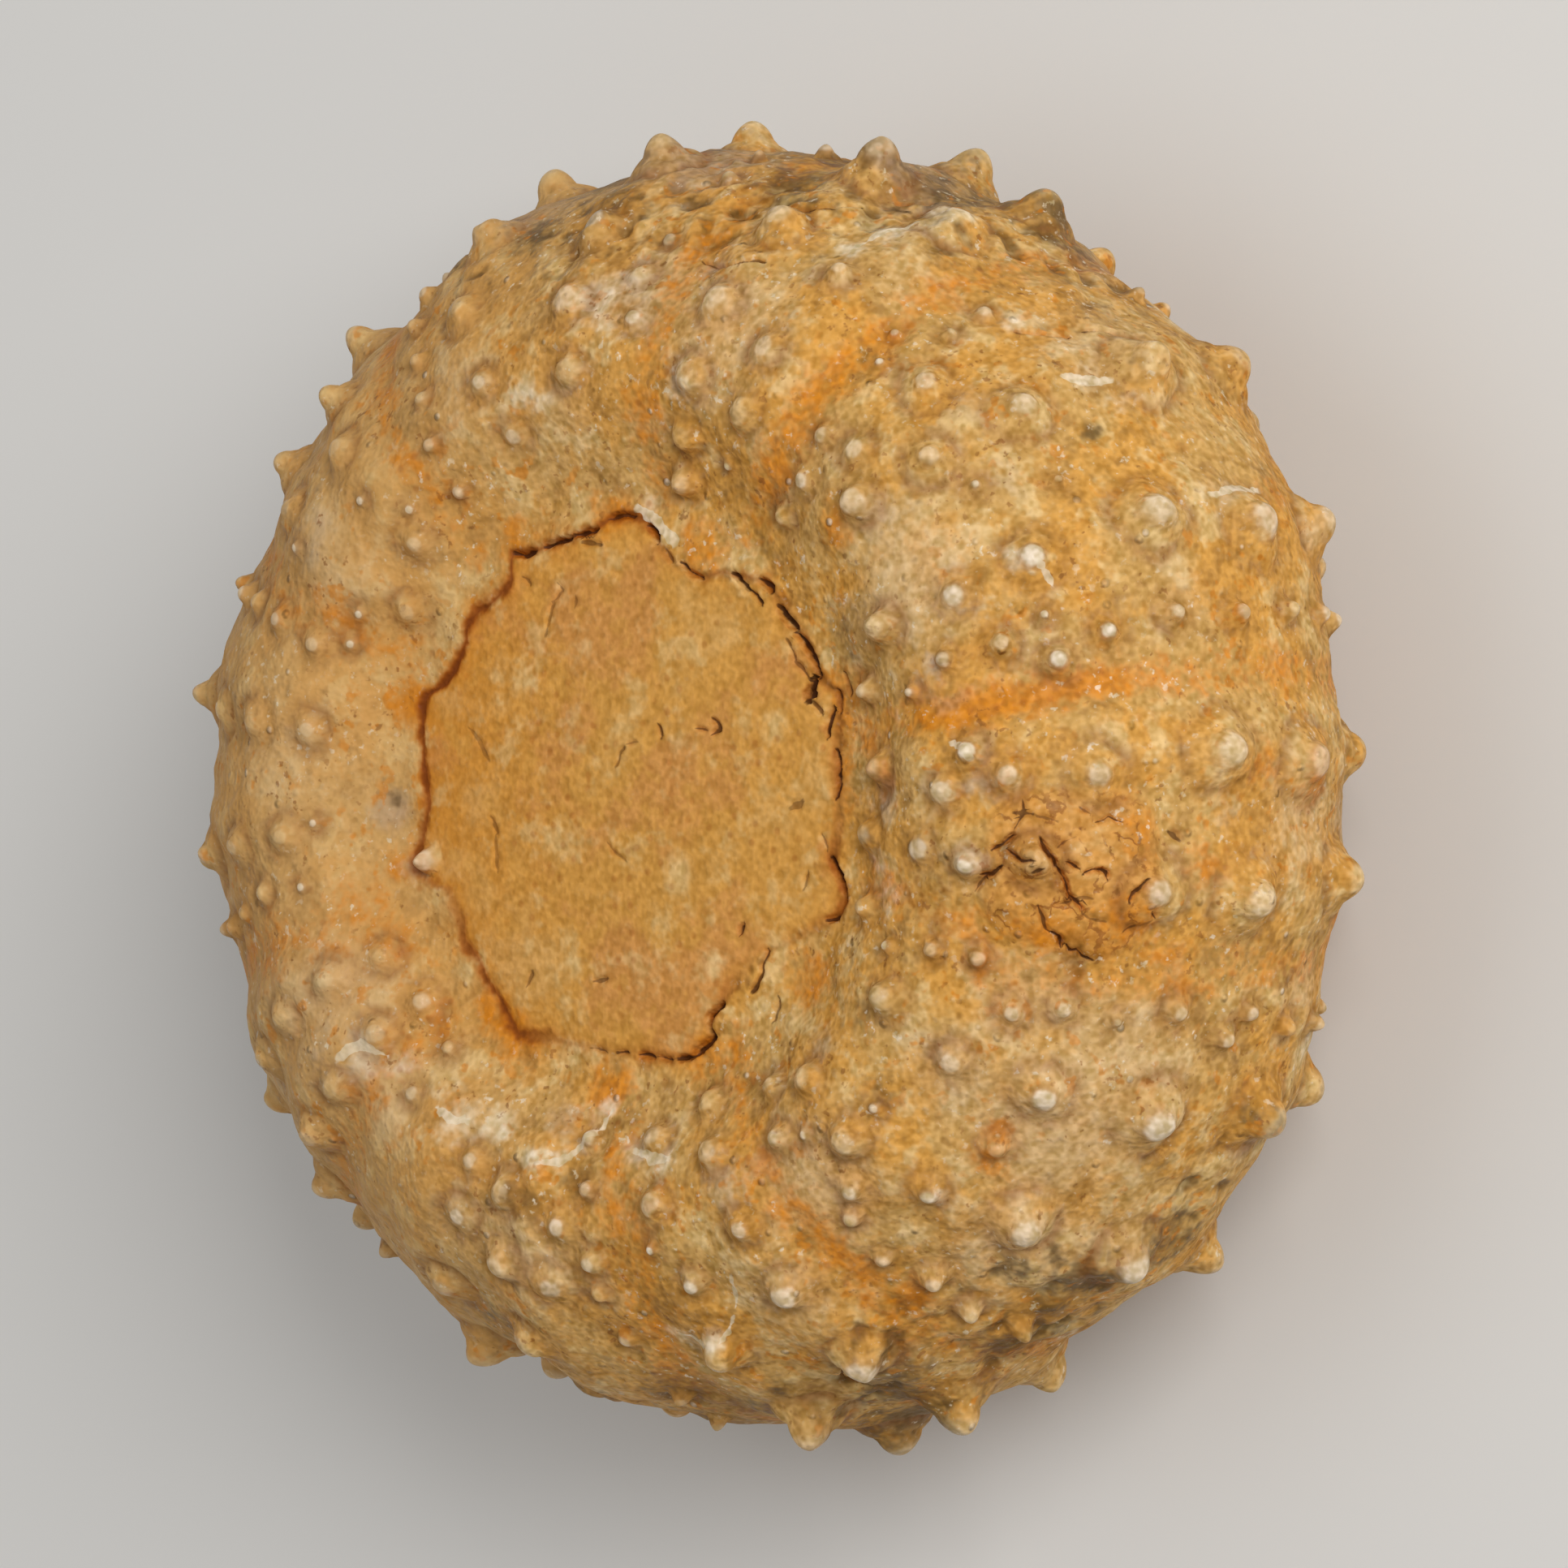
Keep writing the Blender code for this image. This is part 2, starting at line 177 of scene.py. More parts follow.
# The seam round the mouth's fill: angle in degrees and distance from the axis.
SEAM = (
    (9.5, 7.55), (-3, 7.55), (-8, 7.65), (-13, 7.6), (-17, 8.1), (-19, 8.3), (-23, 8.25), (-24.5, 8.0),
    (-30, 7.45), (-40, 6.7), (-48.5, 6.5), (-54, 6.7), (-60, 7.0), (-62.5, 7.1), (-63.5, 7.3),
    (-64, 7.6), (-66.5, 7.7), (-70, 7.85), (-76.5, 7.7), (-82.5, 7.5), (-93.5, 7.35), (-102.5, 7.4),
    (-109, 7.5), (-116, 7.9), (-124.5, 7.5), (-128.5, 7.4), (-134, 7.15), (-140, 7.25), (-143, 6.95),
    (-152, 6.9), (-154, 7.3), (-158, 7.7), (-161, 7.8), (-164, 7.55), (-168.5, 7.2), (-172, 7.0),
    (-176.5, 7.1), (178.5, 7.25), (174, 7.35), (169.5, 7.5), (165.5, 7.65), (163.5, 7.6), (160.5, 7.15),
    (155.5, 6.9), (147.5, 6.95), (145.5, 7.15), (140, 7.2), (137.5, 7.0), (129, 6.9), (127.5, 7.1),
    (125, 7.6), (124, 7.5), (119.5, 7.25), (110, 7.1), (101, 7.15), (97, 7.45), (91, 7.5), (87, 7.4),
    (84.5, 7.1), (81.5, 6.8), (76.5, 6.45), (68.5, 6.4), (66, 6.45), (62, 6.9), (58, 7.05), (54, 7.35),
    (51.5, 7.5), (46, 7.55), (41, 7.4), (33, 7.5), (26.5, 7.5), (23.5, 7.7), (21.5, 7.95), (14, 7.65),
)

# Tubercles with a place and a wear of their own: angle in degrees, arc, kind, and how
# pale the knob is, partly worn white calcite and partly a painted highlight. Each takes
# the place of any set-out tubercle that it would touch.
OWN_TUBERCLES = (
    (28, 19.2, "large", 0.45), (27, 15.7, "low", 0.95), (26, 13.4, "flat", 0.7),
    (26, 22.7, "large", 0.5), (18, 17.2, "ringed", 1.0), (16, 15.7, "ringed", 1.0),
    (19, 14.3, "ringed", 0.35), (21, 15.6, "small", 0.9), (16, 11.4, "small", 0.7),
    (7, 13.1, "ringed", 0.95), (-7, 13.1, "ringed", 1.0), (6, 20.0, "large", 0.35),
    (4, 16.5, "low", 0.4), (4, 14.1, "flat", 0.4), (2, 12.3, "flat", 0.5),
    (-6, 11.6, "flat", 0.5), (-7, 18.2, "low", 0.5), (-7, 21.2, "large", 0.3),
    (5, 23.3, "large", 0.3), (-29, 16.7, "low", 0.8), (-28, 20.0, "large", 0.8),
    (-44, 15.5, "ringed", 0.8), (-22, 15.1, "ringed", 0.5), (-20, 16.4, "ringed", 0.4),
    (-20, 18.0, "small", 0.4), (-18, 19.7, "ringed", 0.4), (-20, 21.6, "ringed", 0.4),
    (-30, 14.1, "flat", 0.35), (-21, 11.0, "small", 0.8), (-42, 21.8, "large", 0.7),
    (-42, 18.2, "large", 0.55), (-36, 16.3, "ringed", 0.1), (67, 16.5, "ringed", 0.3),
    (50, 15.6, "low", 0.35), (42, 17.3, "low", 0.4), (56, 15.2, "small", 0.9),
    (42, 14.4, "low", 0.25), (34, 17.2, "small", 0.2), (37, 15.1, "small", 0.8),
    (49, 13.0, "flat", 0.3), (68, 13.6, "flat", 0.3), (54, 17.3, "small", 0.3),
    (58, 16.2, "small", 0.4), (114, 12.2, "ringed", 0.5), (112, 10.4, "flat", 0.4),
    (68, 9.9, "small", 0.8), (152, 13.1, "small", 0.8), (155, 10.3, "small", 0.9),
    (160, 10.2, "small", 0.8), (-171, 10.6, "small", 0.7), (-162, 11.3, "small", 0.8),
    (140, 11.9, "small", 0.7), (135, 10.6, "small", 0.7), (-110, 13.0, "low", 0.6),
    (-94, 12.4, "low", 0.6), (-90, 13.4, "ringed", 0.5), (-80, 13.1, "small", 1.0),
    (-76, 14.3, "ringed", 0.9), (-96, 14.2, "low", 0.5), (-110, 11.4, "ringed", 0.4),
    (-65, 15.3, "large", 0.6), (-65, 18.4, "large", 0.6), (-65, 13.2, "ringed", 0.5),
    (-50, 14.0, "ringed", 0.5), (-40, 13.0, "small", 0.6), (-50, 12.1, "small", 0.6),
    (-160, 7.25, "pebble", 0.6),
)
# The kinds sized by their plate: shares of a full tubercle's reach, height and knob.
PLATE_KINDS = {"large": (1.0, 0.72, 0.95), "low": (1.0, 0.52, 0.80), "flat": (0.85, 0.32, 0.85)}
# The small kinds' reach, height and knob.
SMALL_KINDS = {"ringed": (0.74, 0.40, 0.25), "small": (0.44, 0.22, 0.14), "pebble": (0.42, 1.1, 0.36)}
OWN_SPACE = 0.72
# How many of the small tubercles are kept, and how pale the set-out ones' knobs may be.
SMALL_KEPT = 0.75
SMALL_PALEST, LARGE_PALEST = 0.6, 0.35

# Where the tubercles are worn low: angle in degrees, arc, reach and the share kept.
WORN_PATCHES = (
    (92, 13.5, 5.2, 0.30), (118, 13.5, 4.6, 0.40), (60, 20.5, 4.0, 0.40),
    (150, 12.5, 5.0, 0.35), (180, 12.5, 5.0, 0.35), (-150, 12.5, 5.0, 0.35),
    (60, 11.0, 3.5, 0.45), (-120, 12.5, 4.2, 0.35), (-75, 11.0, 3.5, 0.50),
    (-5, 10.3, 2.0, 0.60), (-50, 11.0, 2.6, 0.60), (-90, 16.0, 3.6, 0.50),
    (-110, 15.5, 3.6, 0.45), (130, 16.5, 3.0, 0.60), (-103, 21.0, 2.2, 0.40),
    (-146, 19.5, 2.0, 0.60), (-135, 18.5, 2.0, 0.65), (4, 28.0, 6.5, 0.75),
    (32, 26.5, 5.0, 0.72), (-32, 26.5, 5.0, 0.85), (180, 24.0, 5.0, 0.80), (150, 24.0, 5.0, 0.75),
)

# Where the flank is worn back: angle in degrees, arc, reach and depth.
WORN_BACK = ((-104, 22.0, 4.0, 0.7),)

# A worn tubercle's profile: a hollow flank takes this share of its height, and a blunt
# knob stands on it. Its outline is uneven by a share of its width.
FLANK_SHARE = 0.58
FLANK_WIDTH = 0.66
FLANK_HOLLOW = 1.75
KNOB_WIDTH = 1.15
KNOB_BLUNTNESS = 2.6
KNOB_STEEPNESS = 0.75
# Knobs are smaller on the far half than on the near half.
FAR_KNOB_SHARE, FAR_FROM = 0.66, 0.2
UNEVEN_SHARE, UNEVEN_SIZE = 0.18, 0.9
RING_SHARE = 0.74
RING_DEPTH = 0.12
RING_HALF_WIDTH = 0.2
# How far out a tubercle's relief, its knob's colour and its paleness reach, as shares of
# its reach and of its knob, and how much of its rise counts as standing proud.
RELIEF_REACH, KNOB_REACH, PALE_REACH = 1.3, 1.35, 1.6
PROUD_SHARE = 0.6

# The fine relief all over, the relief of broken ground, and the pits in it.
FINE_SIZE, FINE_HEIGHT = 0.7, 0.07
BROKEN_RELIEF = ((1.5, 0.26), (0.6, 0.15))
PIT_SIZE, PIT_DEPTH = 0.7, 0.24
PIT_STEEPNESS, PIT_START = 1.6, 0.1

# How rusty the seam is, every 15 degrees from the first ambulacrum.
SEAM_RUST = (
    0.3, 0.45, 0.5, 0.35, 0.6, 0.2,
    0.8, 0.8, 0.8, 0.9, 1.0, 1.0,
    0.95, 0.8, 0.35, 0.8, 0.9, 0.4,
    0.2, 0.35, 0.5, 0.1, 0.3, 0.6,
)
SEAM_DEPTH, SEAM_HALF_WIDTH = 0.10, 0.13

# How a line is sampled, shaken sideways and tapered at its ends, and how its edge frays.
LINE_STEP = 0.05
WANDER, WANDER_SIZE = 0.035, 0.25
TAPER_START, TAPER_BLUNTNESS = 0.3, 0.4
CRACK_FRAY, CRACK_FRAY_SIZE = 1.0, 0.3
SCRATCH_FRAY, SCRATCH_FRAY_SIZE = 0.9, 0.4
CRACK_DEPTH = 0.25
CRACK_LIP = 0.07

# The cracks: half width, depth, then the places they run through, as angle in degrees
# and arc.
CRACKS = (
    # along the seam
    (0.06, 0.25, (37, 7.4), (35, 7.45), (32.5, 7.5), (31.5, 7.5), (29, 7.5), (26.5, 7.5)),
    (0.04, 0.10, (37, 7.0), (34.5, 7.0), (32, 6.9), (30.5, 7.0), (27.5, 7.1)),
    (0.16, 0.40, (26.2, 7.25), (24.5, 7.1), (23, 6.9)),
    (0.05, 0.12, (21.5, 7.0), (19, 7.2)),
    (0.06, 0.25, (18.5, 7.6), (16.5, 7.4), (13.5, 7.3)),
    (0.05, 0.15, (21.5, 7.95), (18, 7.85)),
    (0.05, 0.15, (24, 8.45), (20.5, 8.45)),
    (0.04, 0.20, (9.5, 7.55), (5.5, 7.6), (2.5, 7.55), (0.3, 7.5)),
    (0.05, 0.25, (-13, 7.6), (-15, 7.85), (-17, 8.1), (-19, 8.3), (-23, 8.25), (-24.5, 8.0)),
    (0.06, 0.15, (-40, 6.75), (-43.5, 6.85), (-44, 7.0), (-48.5, 7.2)),
    (0.04, 0.10, (-45, 7.9), (-46, 8.05), (-48.5, 8.2)),
    (0.05, 0.30, (-57.5, 6.95), (-60, 7.0), (-62.2, 7.1), (-63.5, 7.3), (-63.5, 7.6)),
    (0.07, 0.30, (-63.5, 7.6), (-66.5, 7.7), (-70, 7.85), (-73, 7.8)),
    (0.03, 0.15, (-75.5, 7.75), (-78, 7.65)),
    (0.04, 0.20, (-80, 7.6), (-82.5, 7.5)),
    (0.03, 0.15, (-86.5, 7.4), (-88.5, 7.4)),
    (0.03, 0.10, (-92.5, 7.4), (-96, 7.35)),
    (0.07, 0.20, (124, 7.5), (122, 7.3), (119.5, 7.25)),
    (0.055, 0.25, (115.5, 7.2), (112.5, 7.15), (109, 7.1)),
    (0.05, 0.20, (106.5, 7.15), (104, 7.15), (101, 7.15)),
    (0.07, 0.10, (104, 6.85), (99.5, 6.7)),
    (0.05, 0.15, (97, 7.45), (94, 7.55), (91, 7.5)),
    (0.06, 0.25, (85.5, 7.2), (84, 7.1), (83, 6.9)),
    (0.045, 0.10, (79, 6.65), (77, 6.5)),
    (0.04, 0.20, (73.5, 6.5), (71.5, 6.4), (68.5, 6.4), (66.5, 6.4)),
    (0.06, 0.25, (58.5, 7.05), (56, 7.0), (53.5, 7.0)),
    (0.04, 0.20, (52.5, 7.05), (51, 7.05), (48.5, 7.0)),
    (0.06, 0.25, (51.5, 7.5), (49, 7.55), (48.4, 7.5)),
    (0.07, 0.30, (44, 7.35), (41, 7.4), (38, 7.45)),
    # across the crust
    (0.051, 0.35, (-3, 15.0), (-3.8, 15.1), (-4.5, 15.3), (-5.4, 15.4)),
    (0.024, 0.25, (-5.4, 15.4), (-6.3, 15.6), (-7.1, 15.75), (-8.3, 15.9), (-9, 16.15), (-9.7, 16.3)),
    (0.044, 0.30, (-3.8, 14.0), (-3.1, 14.15), (-2.6, 14.3)),
    (0.024, 0.15, (-2.6, 14.3), (-2, 14.3), (-1.1, 14.4), (-0.1, 14.55), (1, 14.5)),
    (0.041, 0.12, (-0.1, 14.35), (-0.1, 14.7)),
    (0.031, 0.25, (-4.5, 14.2), (-4.9, 14.4), (-5.3, 14.55), (-5, 14.75)),
    (0.034, 0.20, (-4.4, 13.8), (-4.1, 13.9)),
    (0.041, 0.25, (-7.7, 13.6), (-7.5, 13.8), (-7, 13.9), (-6.5, 14.0)),
    (0.041, 0.12, (-8.1, 13.6), (-9.4, 13.45)),
    (0.034, 0.25, (-5.1, 15.75), (-5.4, 16.0)),
    (0.034, 0.30, (-5.9, 16.25), (-5.5, 16.45), (-5.5, 16.7), (-5.8, 16.8), (-6.1, 16.8)),
    (0.037, 0.20, (-6, 17.8), (-6.7, 17.7), (-7.4, 17.55), (-8.1, 17.5)),
    (0.027, 0.20, (-0.7, 16.5), (-0.5, 16.7), (-0.2, 16.8), (-0.6, 17.05)),
    (0.041, 0.10, (0.5, 16.05), (0.3, 16.15)),
    (0.034, 0.15, (-10.2, 15.15), (-11.3, 15.3), (-12.3, 15.4), (-12.5, 15.5)),
    (0.037, 0.25, (-12.5, 15.6), (-12.8, 15.8), (-13.6, 15.9)),
    (0.027, 0.20, (-13.6, 16.1), (-14, 16.2), (-13.8, 16.4), (-14.4, 16.6), (-14.5, 16.8)),
    (0.061, 0.12, (-1.6, 18.6), (-2, 18.8)),
    (0.034, 0.08, (-8.4, 16.2), (-8.4, 16.4)),
    (0.027, 0.20, (-9, 18.2), (-9.4, 18.3)),
    (0.024, 0.10, (-11.1, 17.5), (-10.6, 17.7)),
    (0.034, 0.08, (-0.4, 14.95), (-0.8, 15.3)),
    (0.027, 0.08, (-3.3, 15.5), (-2.6, 15.8)),
    (0.031, 0.15, (-6.1, 14.9), (-5.9, 15.0)),
    (0.014, 0.10, (-9.6, 15.55), (-9, 15.9)),
    (0.02, 0.08, (-10.1, 16.35), (-10.5, 16.55), (-10.5, 16.9)),
    # short strokes in the mouth's fill
    (0.06, 0.06, (115, 5.95), (114.5, 5.8), (118.5, 5.65)),
    (0.05, 0.06, (118.5, 5.65), (122, 5.35), (125.5, 5.0)),
    (0.06, 0.05, (110.5, 5.4), (111.2, 5.25)),
    (0.05, 0.08, (124.6, 6.75), (123.8, 6.55)),
    (0.035, 0.08, (84, 1.0), (100, 0.55)),
    (0.03, 0.06, (76, 1.2), (67, 1.3)),
    (0.045, 0.12, (52, 2.1), (45.5, 2.0)),
    (0.03, 0.12, (32, 3.2), (29, 3.4)),
    (0.045, 0.14, (31, 3.75), (26.5, 3.8), (26, 3.6)),
    (0.06, 0.04, (167.5, 5.6), (170, 5.2), (174.5, 4.8)),
    (0.05, 0.07, (-165, 4.7), (-160, 4.6)),
    (0.06, 0.04, (-159, 4.7), (-149, 5.0)),
    (0.03, 0.05, (-98, 1.7), (-82, 2.1)),
    (0.045, 0.08, (-118.5, 6.45), (-118.5, 6.15)),
    (0.05, 0.10, (-96.4, 5.5), (-93.3, 5.4)),
    (0.045, 0.16, (-42, 5.8), (-39.5, 5.7)),
    (0.10, 0.07, (-3, 6.1), (-1.3, 6.3)),
    (0.04, 0.08, (-18, 6.9), (-21, 6.9)),
    (0.03, 0.08, (-8.5, 7.15), (-11, 7.35)),
    # broken edges on the flank
    (0.02, 0.18, (51, 18.9), (50, 19.4), (48.5, 20.2)),
    (0.02, 0.14, (48.5, 20.8), (47, 21.6), (46, 22.1)),
    (0.035, 0.20, (73, 20.6), (71, 21.5), (70, 22.0)),
    (0.03, 0.15, (79, 18.2), (76, 18.6), (74, 19.4)),
    (0.025, 0.12, (84, 15.6), (80, 15.5), (76, 15.9)),
    (0.03, 0.12, (-68, 18.6), (-71, 19.4), (-70, 20.4)),
)

# White scratches and chalky strokes: half width, then the places they run through.
SCRATCHES = (
    (0.10, (-89, 9.1), (-90.5, 9.6), (-93, 10.1), (-95.5, 10.6), (-98.5, 10.8)),
    (0.16, (89, 7.7), (83.5, 7.3), (78, 7.0)),
    (0.15, (44, 19.0), (43, 19.5), (42.5, 20.2)),
    (0.05, (-82, 15.9), (-80, 16.1), (-77, 16.2), (-75, 15.9), (-72, 15.1), (-70.5, 14.4)),
    (0.12, (68, 19.7), (68.5, 19.0), (69, 18.3), (69, 17.8)),
    (0.14, (-137, 11.9), (-136, 11.3), (-133, 11.0)),
    (0.12, (-119, 10.8), (-116.5, 10.8), (-114, 10.6)),
    (0.12, (29, 21.3), (29.5, 22.3), (29.5, 23.6)),
    (0.13, (8, 12.7), (7.5, 13.0), (6.5, 13.1)),
    (0.14, (-82, 10.2), (-78.5, 10.5), (-75, 10.7)),
    (0.07, (26.5, 15.7), (24, 16.0)),
)
# Bands of iron stain: reach, strength, then the places they run through.
STAIN_BANDS = (
    (0.60, 0.85, (12, 11.5), (12, 12.8), (12.5, 14.4), (13, 15.8), (13, 17.2)),
    (0.80, 0.62, (59, 10.1), (57.5, 11.8), (58, 13.0), (58.5, 13.8), (58, 15.0), (58.5, 16.1)),
    (0.75, 0.60, (-57.5, 13.6), (-58, 14.6), (-58, 15.7), (-56.5, 16.9), (-55.5, 17.7)),
    (0.70, 0.52, (-83.5, 11.0), (-81.5, 12.1), (-81.5, 13.5), (-84, 14.9), (-86.5, 17.1), (-88, 18.3)),
    (0.70, 0.50, (160.5, 12.7), (158, 11.2), (156.5, 10.2)),
    (1.10, 0.50, (-155.5, 13.5), (-155, 11.4), (-153.5, 10.0), (-149, 9.0)),
    (0.60, 0.50, (-18.5, 14.0), (-17, 16.0), (-16, 17.8), (-15.5, 19.5), (-16, 20.6)),
    (0.50, 0.60, (-35, 16.2), (-38, 16.3), (-38.5, 16.8)),
    (0.45, 0.55, (131.5, 13.6), (130, 12.4), (130, 10.9), (130.5, 10.1)),
    (0.70, 0.75, (-124.5, 8.0), (-117.5, 7.9), (-112.5, 8.0)),
    (0.50, 0.60, (46, 11.5), (42, 11.0)),
    (0.50, 0.60, (24.5, 8.3), (14, 7.9), (4, 7.8), (-2.5, 7.9)),
    (0.50, 0.55, (9.5, 9.0), (4, 10.1)),
    (0.50, 0.60, (-58.5, 7.9), (-59.5, 9.2)),
)

# Patches of each finish: angle in degrees, arc, reach and strength.
BLEACHED = (
    (75, 13.8, 2.5, 0.7), (47, 20.9, 2.5, 0.6), (31, 12.5, 2.2, 0.8), (-23, 18.4, 3.0, 0.7),
    (-147, 11.5, 2.5, 0.8), (0, 23.3, 2.4, 0.7), (-128, 11.6, 1.5, 0.7), (119, 12.5, 2.0, 0.5),
    (151, 12.0, 2.5, 0.6), (-32, 17.6, 3.0, 0.9), (-31, 14.5, 2.0, 0.7), (-45, 18.5, 2.6, 0.8),
    (-20, 15.5, 2.0, 0.7), (-53, 13.4, 2.6, 0.75), (-106, 12.7, 2.0, 0.4), (89, 14.5, 1.5, 0.9),
    (-65, 15.5, 2.2, 0.6), (-100, 13.5, 2.0, 0.6), (-42, 21.0, 2.4, 0.6), (62, 17.5, 1.8, 0.5),
    (100, 10.8, 1.6, 0.5), (179, 12.0, 2.4, 0.5), (-66, 19.5, 1.5, 0.5), (20, 19.6, 1.6, 0.5),
    (19.5, 5.6, 0.5, 0.9), (-48, 3.2, 0.6, 0.9), (145, 4.5, 0.5, 0.6), (-55, 5.9, 0.4, 0.7),
    (-106, 5.3, 0.4, 0.7), (-136, 2.8, 0.6, 0.7), (-160.5, 7.1, 0.35, 1.0), (60, 3.4, 0.5, 0.5),
)
CHALK = (
    (94, 14.1, 1.3, 0.95), (89, 13.4, 0.8, 0.8), (80, 11.7, 0.7, 0.8), (107, 11.2, 0.8, 0.6),
    (68, 11.6, 0.5, 0.7), (86, 7.9, 0.4, 0.9), (69, 17.6, 0.6, 0.8), (68, 19.0, 0.9, 0.8),
    (67, 20.7, 0.9, 0.8), (43, 19.7, 0.8, 0.9), (40, 20.3, 0.5, 0.8), (52, 18.9, 0.5, 0.8),
    (29, 21.8, 0.8, 0.7), (19, 12.2, 0.5, 0.8), (26, 13.4, 0.9, 0.6), (27, 15.3, 0.5, 0.8),
    (-135, 11.5, 0.8, 0.9), (-130, 10.8, 0.6, 0.8), (-116, 10.7, 1.0, 0.9),
    (-108, 10.2, 0.8, 0.8), (-89, 9.0, 0.4, 0.9), (-91, 9.5, 0.35, 0.9),
    (-93, 10.1, 0.35, 0.9), (-96, 10.6, 0.4, 0.9), (-100, 10.7, 0.4, 0.8),
    (-81, 10.3, 0.6, 0.9), (-76, 10.7, 0.6, 0.8), (-82, 15.8, 0.5, 0.8),
    (-77, 16.0, 0.5, 0.8), (-160, 7.9, 0.5, 0.9), (-44, 15.6, 0.5, 0.8),
    (3, 13.0, 0.5, 0.7), (-6, 13.3, 0.5, 0.8), (2, 11.0, 0.7, 0.5), (9, 10.2, 0.6, 0.4),
    (0, 8.9, 0.9, 0.45), (-9, 9.4, 0.9, 0.45), (13, 10.6, 0.8, 0.45), (-16, 10.6, 0.8, 0.4),
)
STAIN = (
    (86, 10.9, 0.9, 0.6), (84, 15.8, 0.9, 0.4), (128, 10.5, 0.8, 0.4), (123, 8.0, 0.7, 0.7),
    (166, 8.0, 0.7, 0.9), (-90, 8.4, 0.8, 0.9), (-66, 8.2, 0.9, 0.7), (-36, 8.4, 1.0, 0.6),
    (-161, 8.3, 0.6, 0.7), (70, 7.2, 0.9, 0.6), (96, 7.6, 0.9, 0.6), (20, 8.6, 0.8, 0.6),
    (5, 21.3, 0.8, 0.6), (-4, 19.7, 0.8, 0.5), (13, 17.6, 1.4, 0.35), (4, 23.7, 0.9, 0.7),
    (-2, 17.6, 0.8, 0.5), (-10, 17.6, 0.9, 0.6), (30, 24.4, 0.9, 0.6), (100, 21.2, 1.0, 0.6),
)
GREY = (
    (-172, 8.3, 0.8, 0.9), (-98, 9.5, 0.8, 0.7), (82, 15.5, 0.6, 0.8), (74, 11.5, 0.5, 0.7),
    (72, 20.3, 0.6, 0.8), (46, 16.2, 0.8, 0.5), (30, 10.0, 1.3, 0.5), (4, 13.6, 0.9, 0.6),
    (36, 15.7, 1.0, 0.4), (69, 16.2, 0.9, 0.4), (-112, 13.3, 1.2, 0.5), (-64, 11.7, 1.4, 0.5),
    (-40, 10.4, 0.8, 0.6), (0, 9.8, 1.1, 0.6), (-30, 13.8, 0.8, 0.5), (150, 12.4, 1.6, 0.4),
    (-140, 12.6, 1.5, 0.5), (0, 20.4, 0.7, 0.5), (18, 12.0, 1.6, 0.5), (40, 12.6, 1.2, 0.4),
    (95, 20.5, 3.0, 0.8), (75, 22.5, 2.6, 0.8), (113, 19.5, 2.6, 0.7), (60, 25.0, 2.4, 0.6),
)
# Grime, which also paints shade: the wide patches near the widest girdle, around 90 and -90 degrees,
# darken the stone there as painted shade.
GRIME_AND_SHADE = (
    (-47, 19.1, 0.9, 0.6), (-46, 21.4, 1.4, 0.8), (-32, 20.9, 0.7, 0.5), (-69, 21.6, 1.4, 0.9),
    (-66, 19.9, 1.1, 0.8), (84, 19.8, 1.6, 0.7), (100, 17.6, 1.4, 0.7), (110, 17.4, 1.2, 0.7),
    (72, 22.6, 1.6, 0.8), (63, 24.2, 1.6, 0.7), (-50, 21.3, 1.3, 0.8), (-88, 18.8, 1.4, 0.6),
    (-84, 20.0, 1.4, 0.6), (-56, 22.0, 1.5, 0.8), (-40, 23.0, 1.3, 0.7), (-108, 17.3, 1.4, 0.5),
    (-38, 12.9, 0.6, 0.6), (-4, 8.3, 0.6, 0.5), (38, 18.8, 0.35, 1.0), (72, 20.3, 0.35, 1.0),
    (-176, 8.2, 0.5, 0.6), (30, 9.0, 1.0, 0.4), (-12, 12.0, 1.0, 0.5), (-14, 16.6, 0.9, 0.5),
    (86, 23.5, 2.6, 0.7), (105, 21.5, 2.6, 0.7), (122, 20.0, 2.0, 0.6), (70, 24.5, 2.4, 0.7),
    (-92, 22.5, 2.2, 0.7), (-104, 20.5, 1.8, 0.6), (-78, 23.5, 2.2, 0.7),
)
# Patches of broken ground, given in the same way.
ROUGH = (
    (100, 16.8, 2.6, 0.8), (84, 18.2, 2.6, 1.0), (70, 20.5, 3.0, 0.9), (118, 17.5, 2.2, 0.6),
    (60, 23.0, 2.6, 0.8), (92, 20.0, 2.6, 0.9), (-60, 18.6, 2.6, 0.8), (-46, 20.4, 2.4, 0.8),
    (-72, 20.5, 2.6, 0.8), (-36, 23.0, 2.4, 0.7), (-56, 22.4, 2.8, 0.8), (-90, 19.5, 2.6, 0.4),
    (26, 10.0, 1.8, 0.4), (0, 9.6, 1.8, 0.5), (-30, 10.0, 1.8, 0.5), (-60, 9.6, 1.6, 0.4),
    (60, 8.8, 1.6, 0.4), (-8, 12.0, 1.2, 0.4), (48, 20.6, 1.6, 0.5), (-100, 11.4, 1.8, 0.5),
)
# How many more patches are strewn over the lower side, where the lists above don't reach.
STREWN = {"chalk": 26, "stain": 20, "grey": 24, "grime": 40, "rough": 40, "bleached": 30}
STREWN_FROM, STREWN_SHORT_OF_BASE = 23.0, 4
STREWN_REACH = (0.5, 1.5)
STREWN_STRENGTH = (0.5, 0.9)

# The material's textures: size in millimetres, detail, roughness, and a shift that sets
# each apart.
TEXTURES = {
    "broad": (3.4, 5.0, 0.64, 1.0),
    "middling": (1.1, 3.0, 0.70, 2.0),
    "small": (0.40, 1.6, 0.72, 3.0),
    "grain": (0.17, 0.0, 0.5, 4.0),
}
STREAKS = (1.0, 2.0, 0.65, 8.0)
PORE_WEAR = (2.2, 2.0, 0.5, 9.0)
FLECK_CLUSTERS = (2.4, 3.0, 0.6)
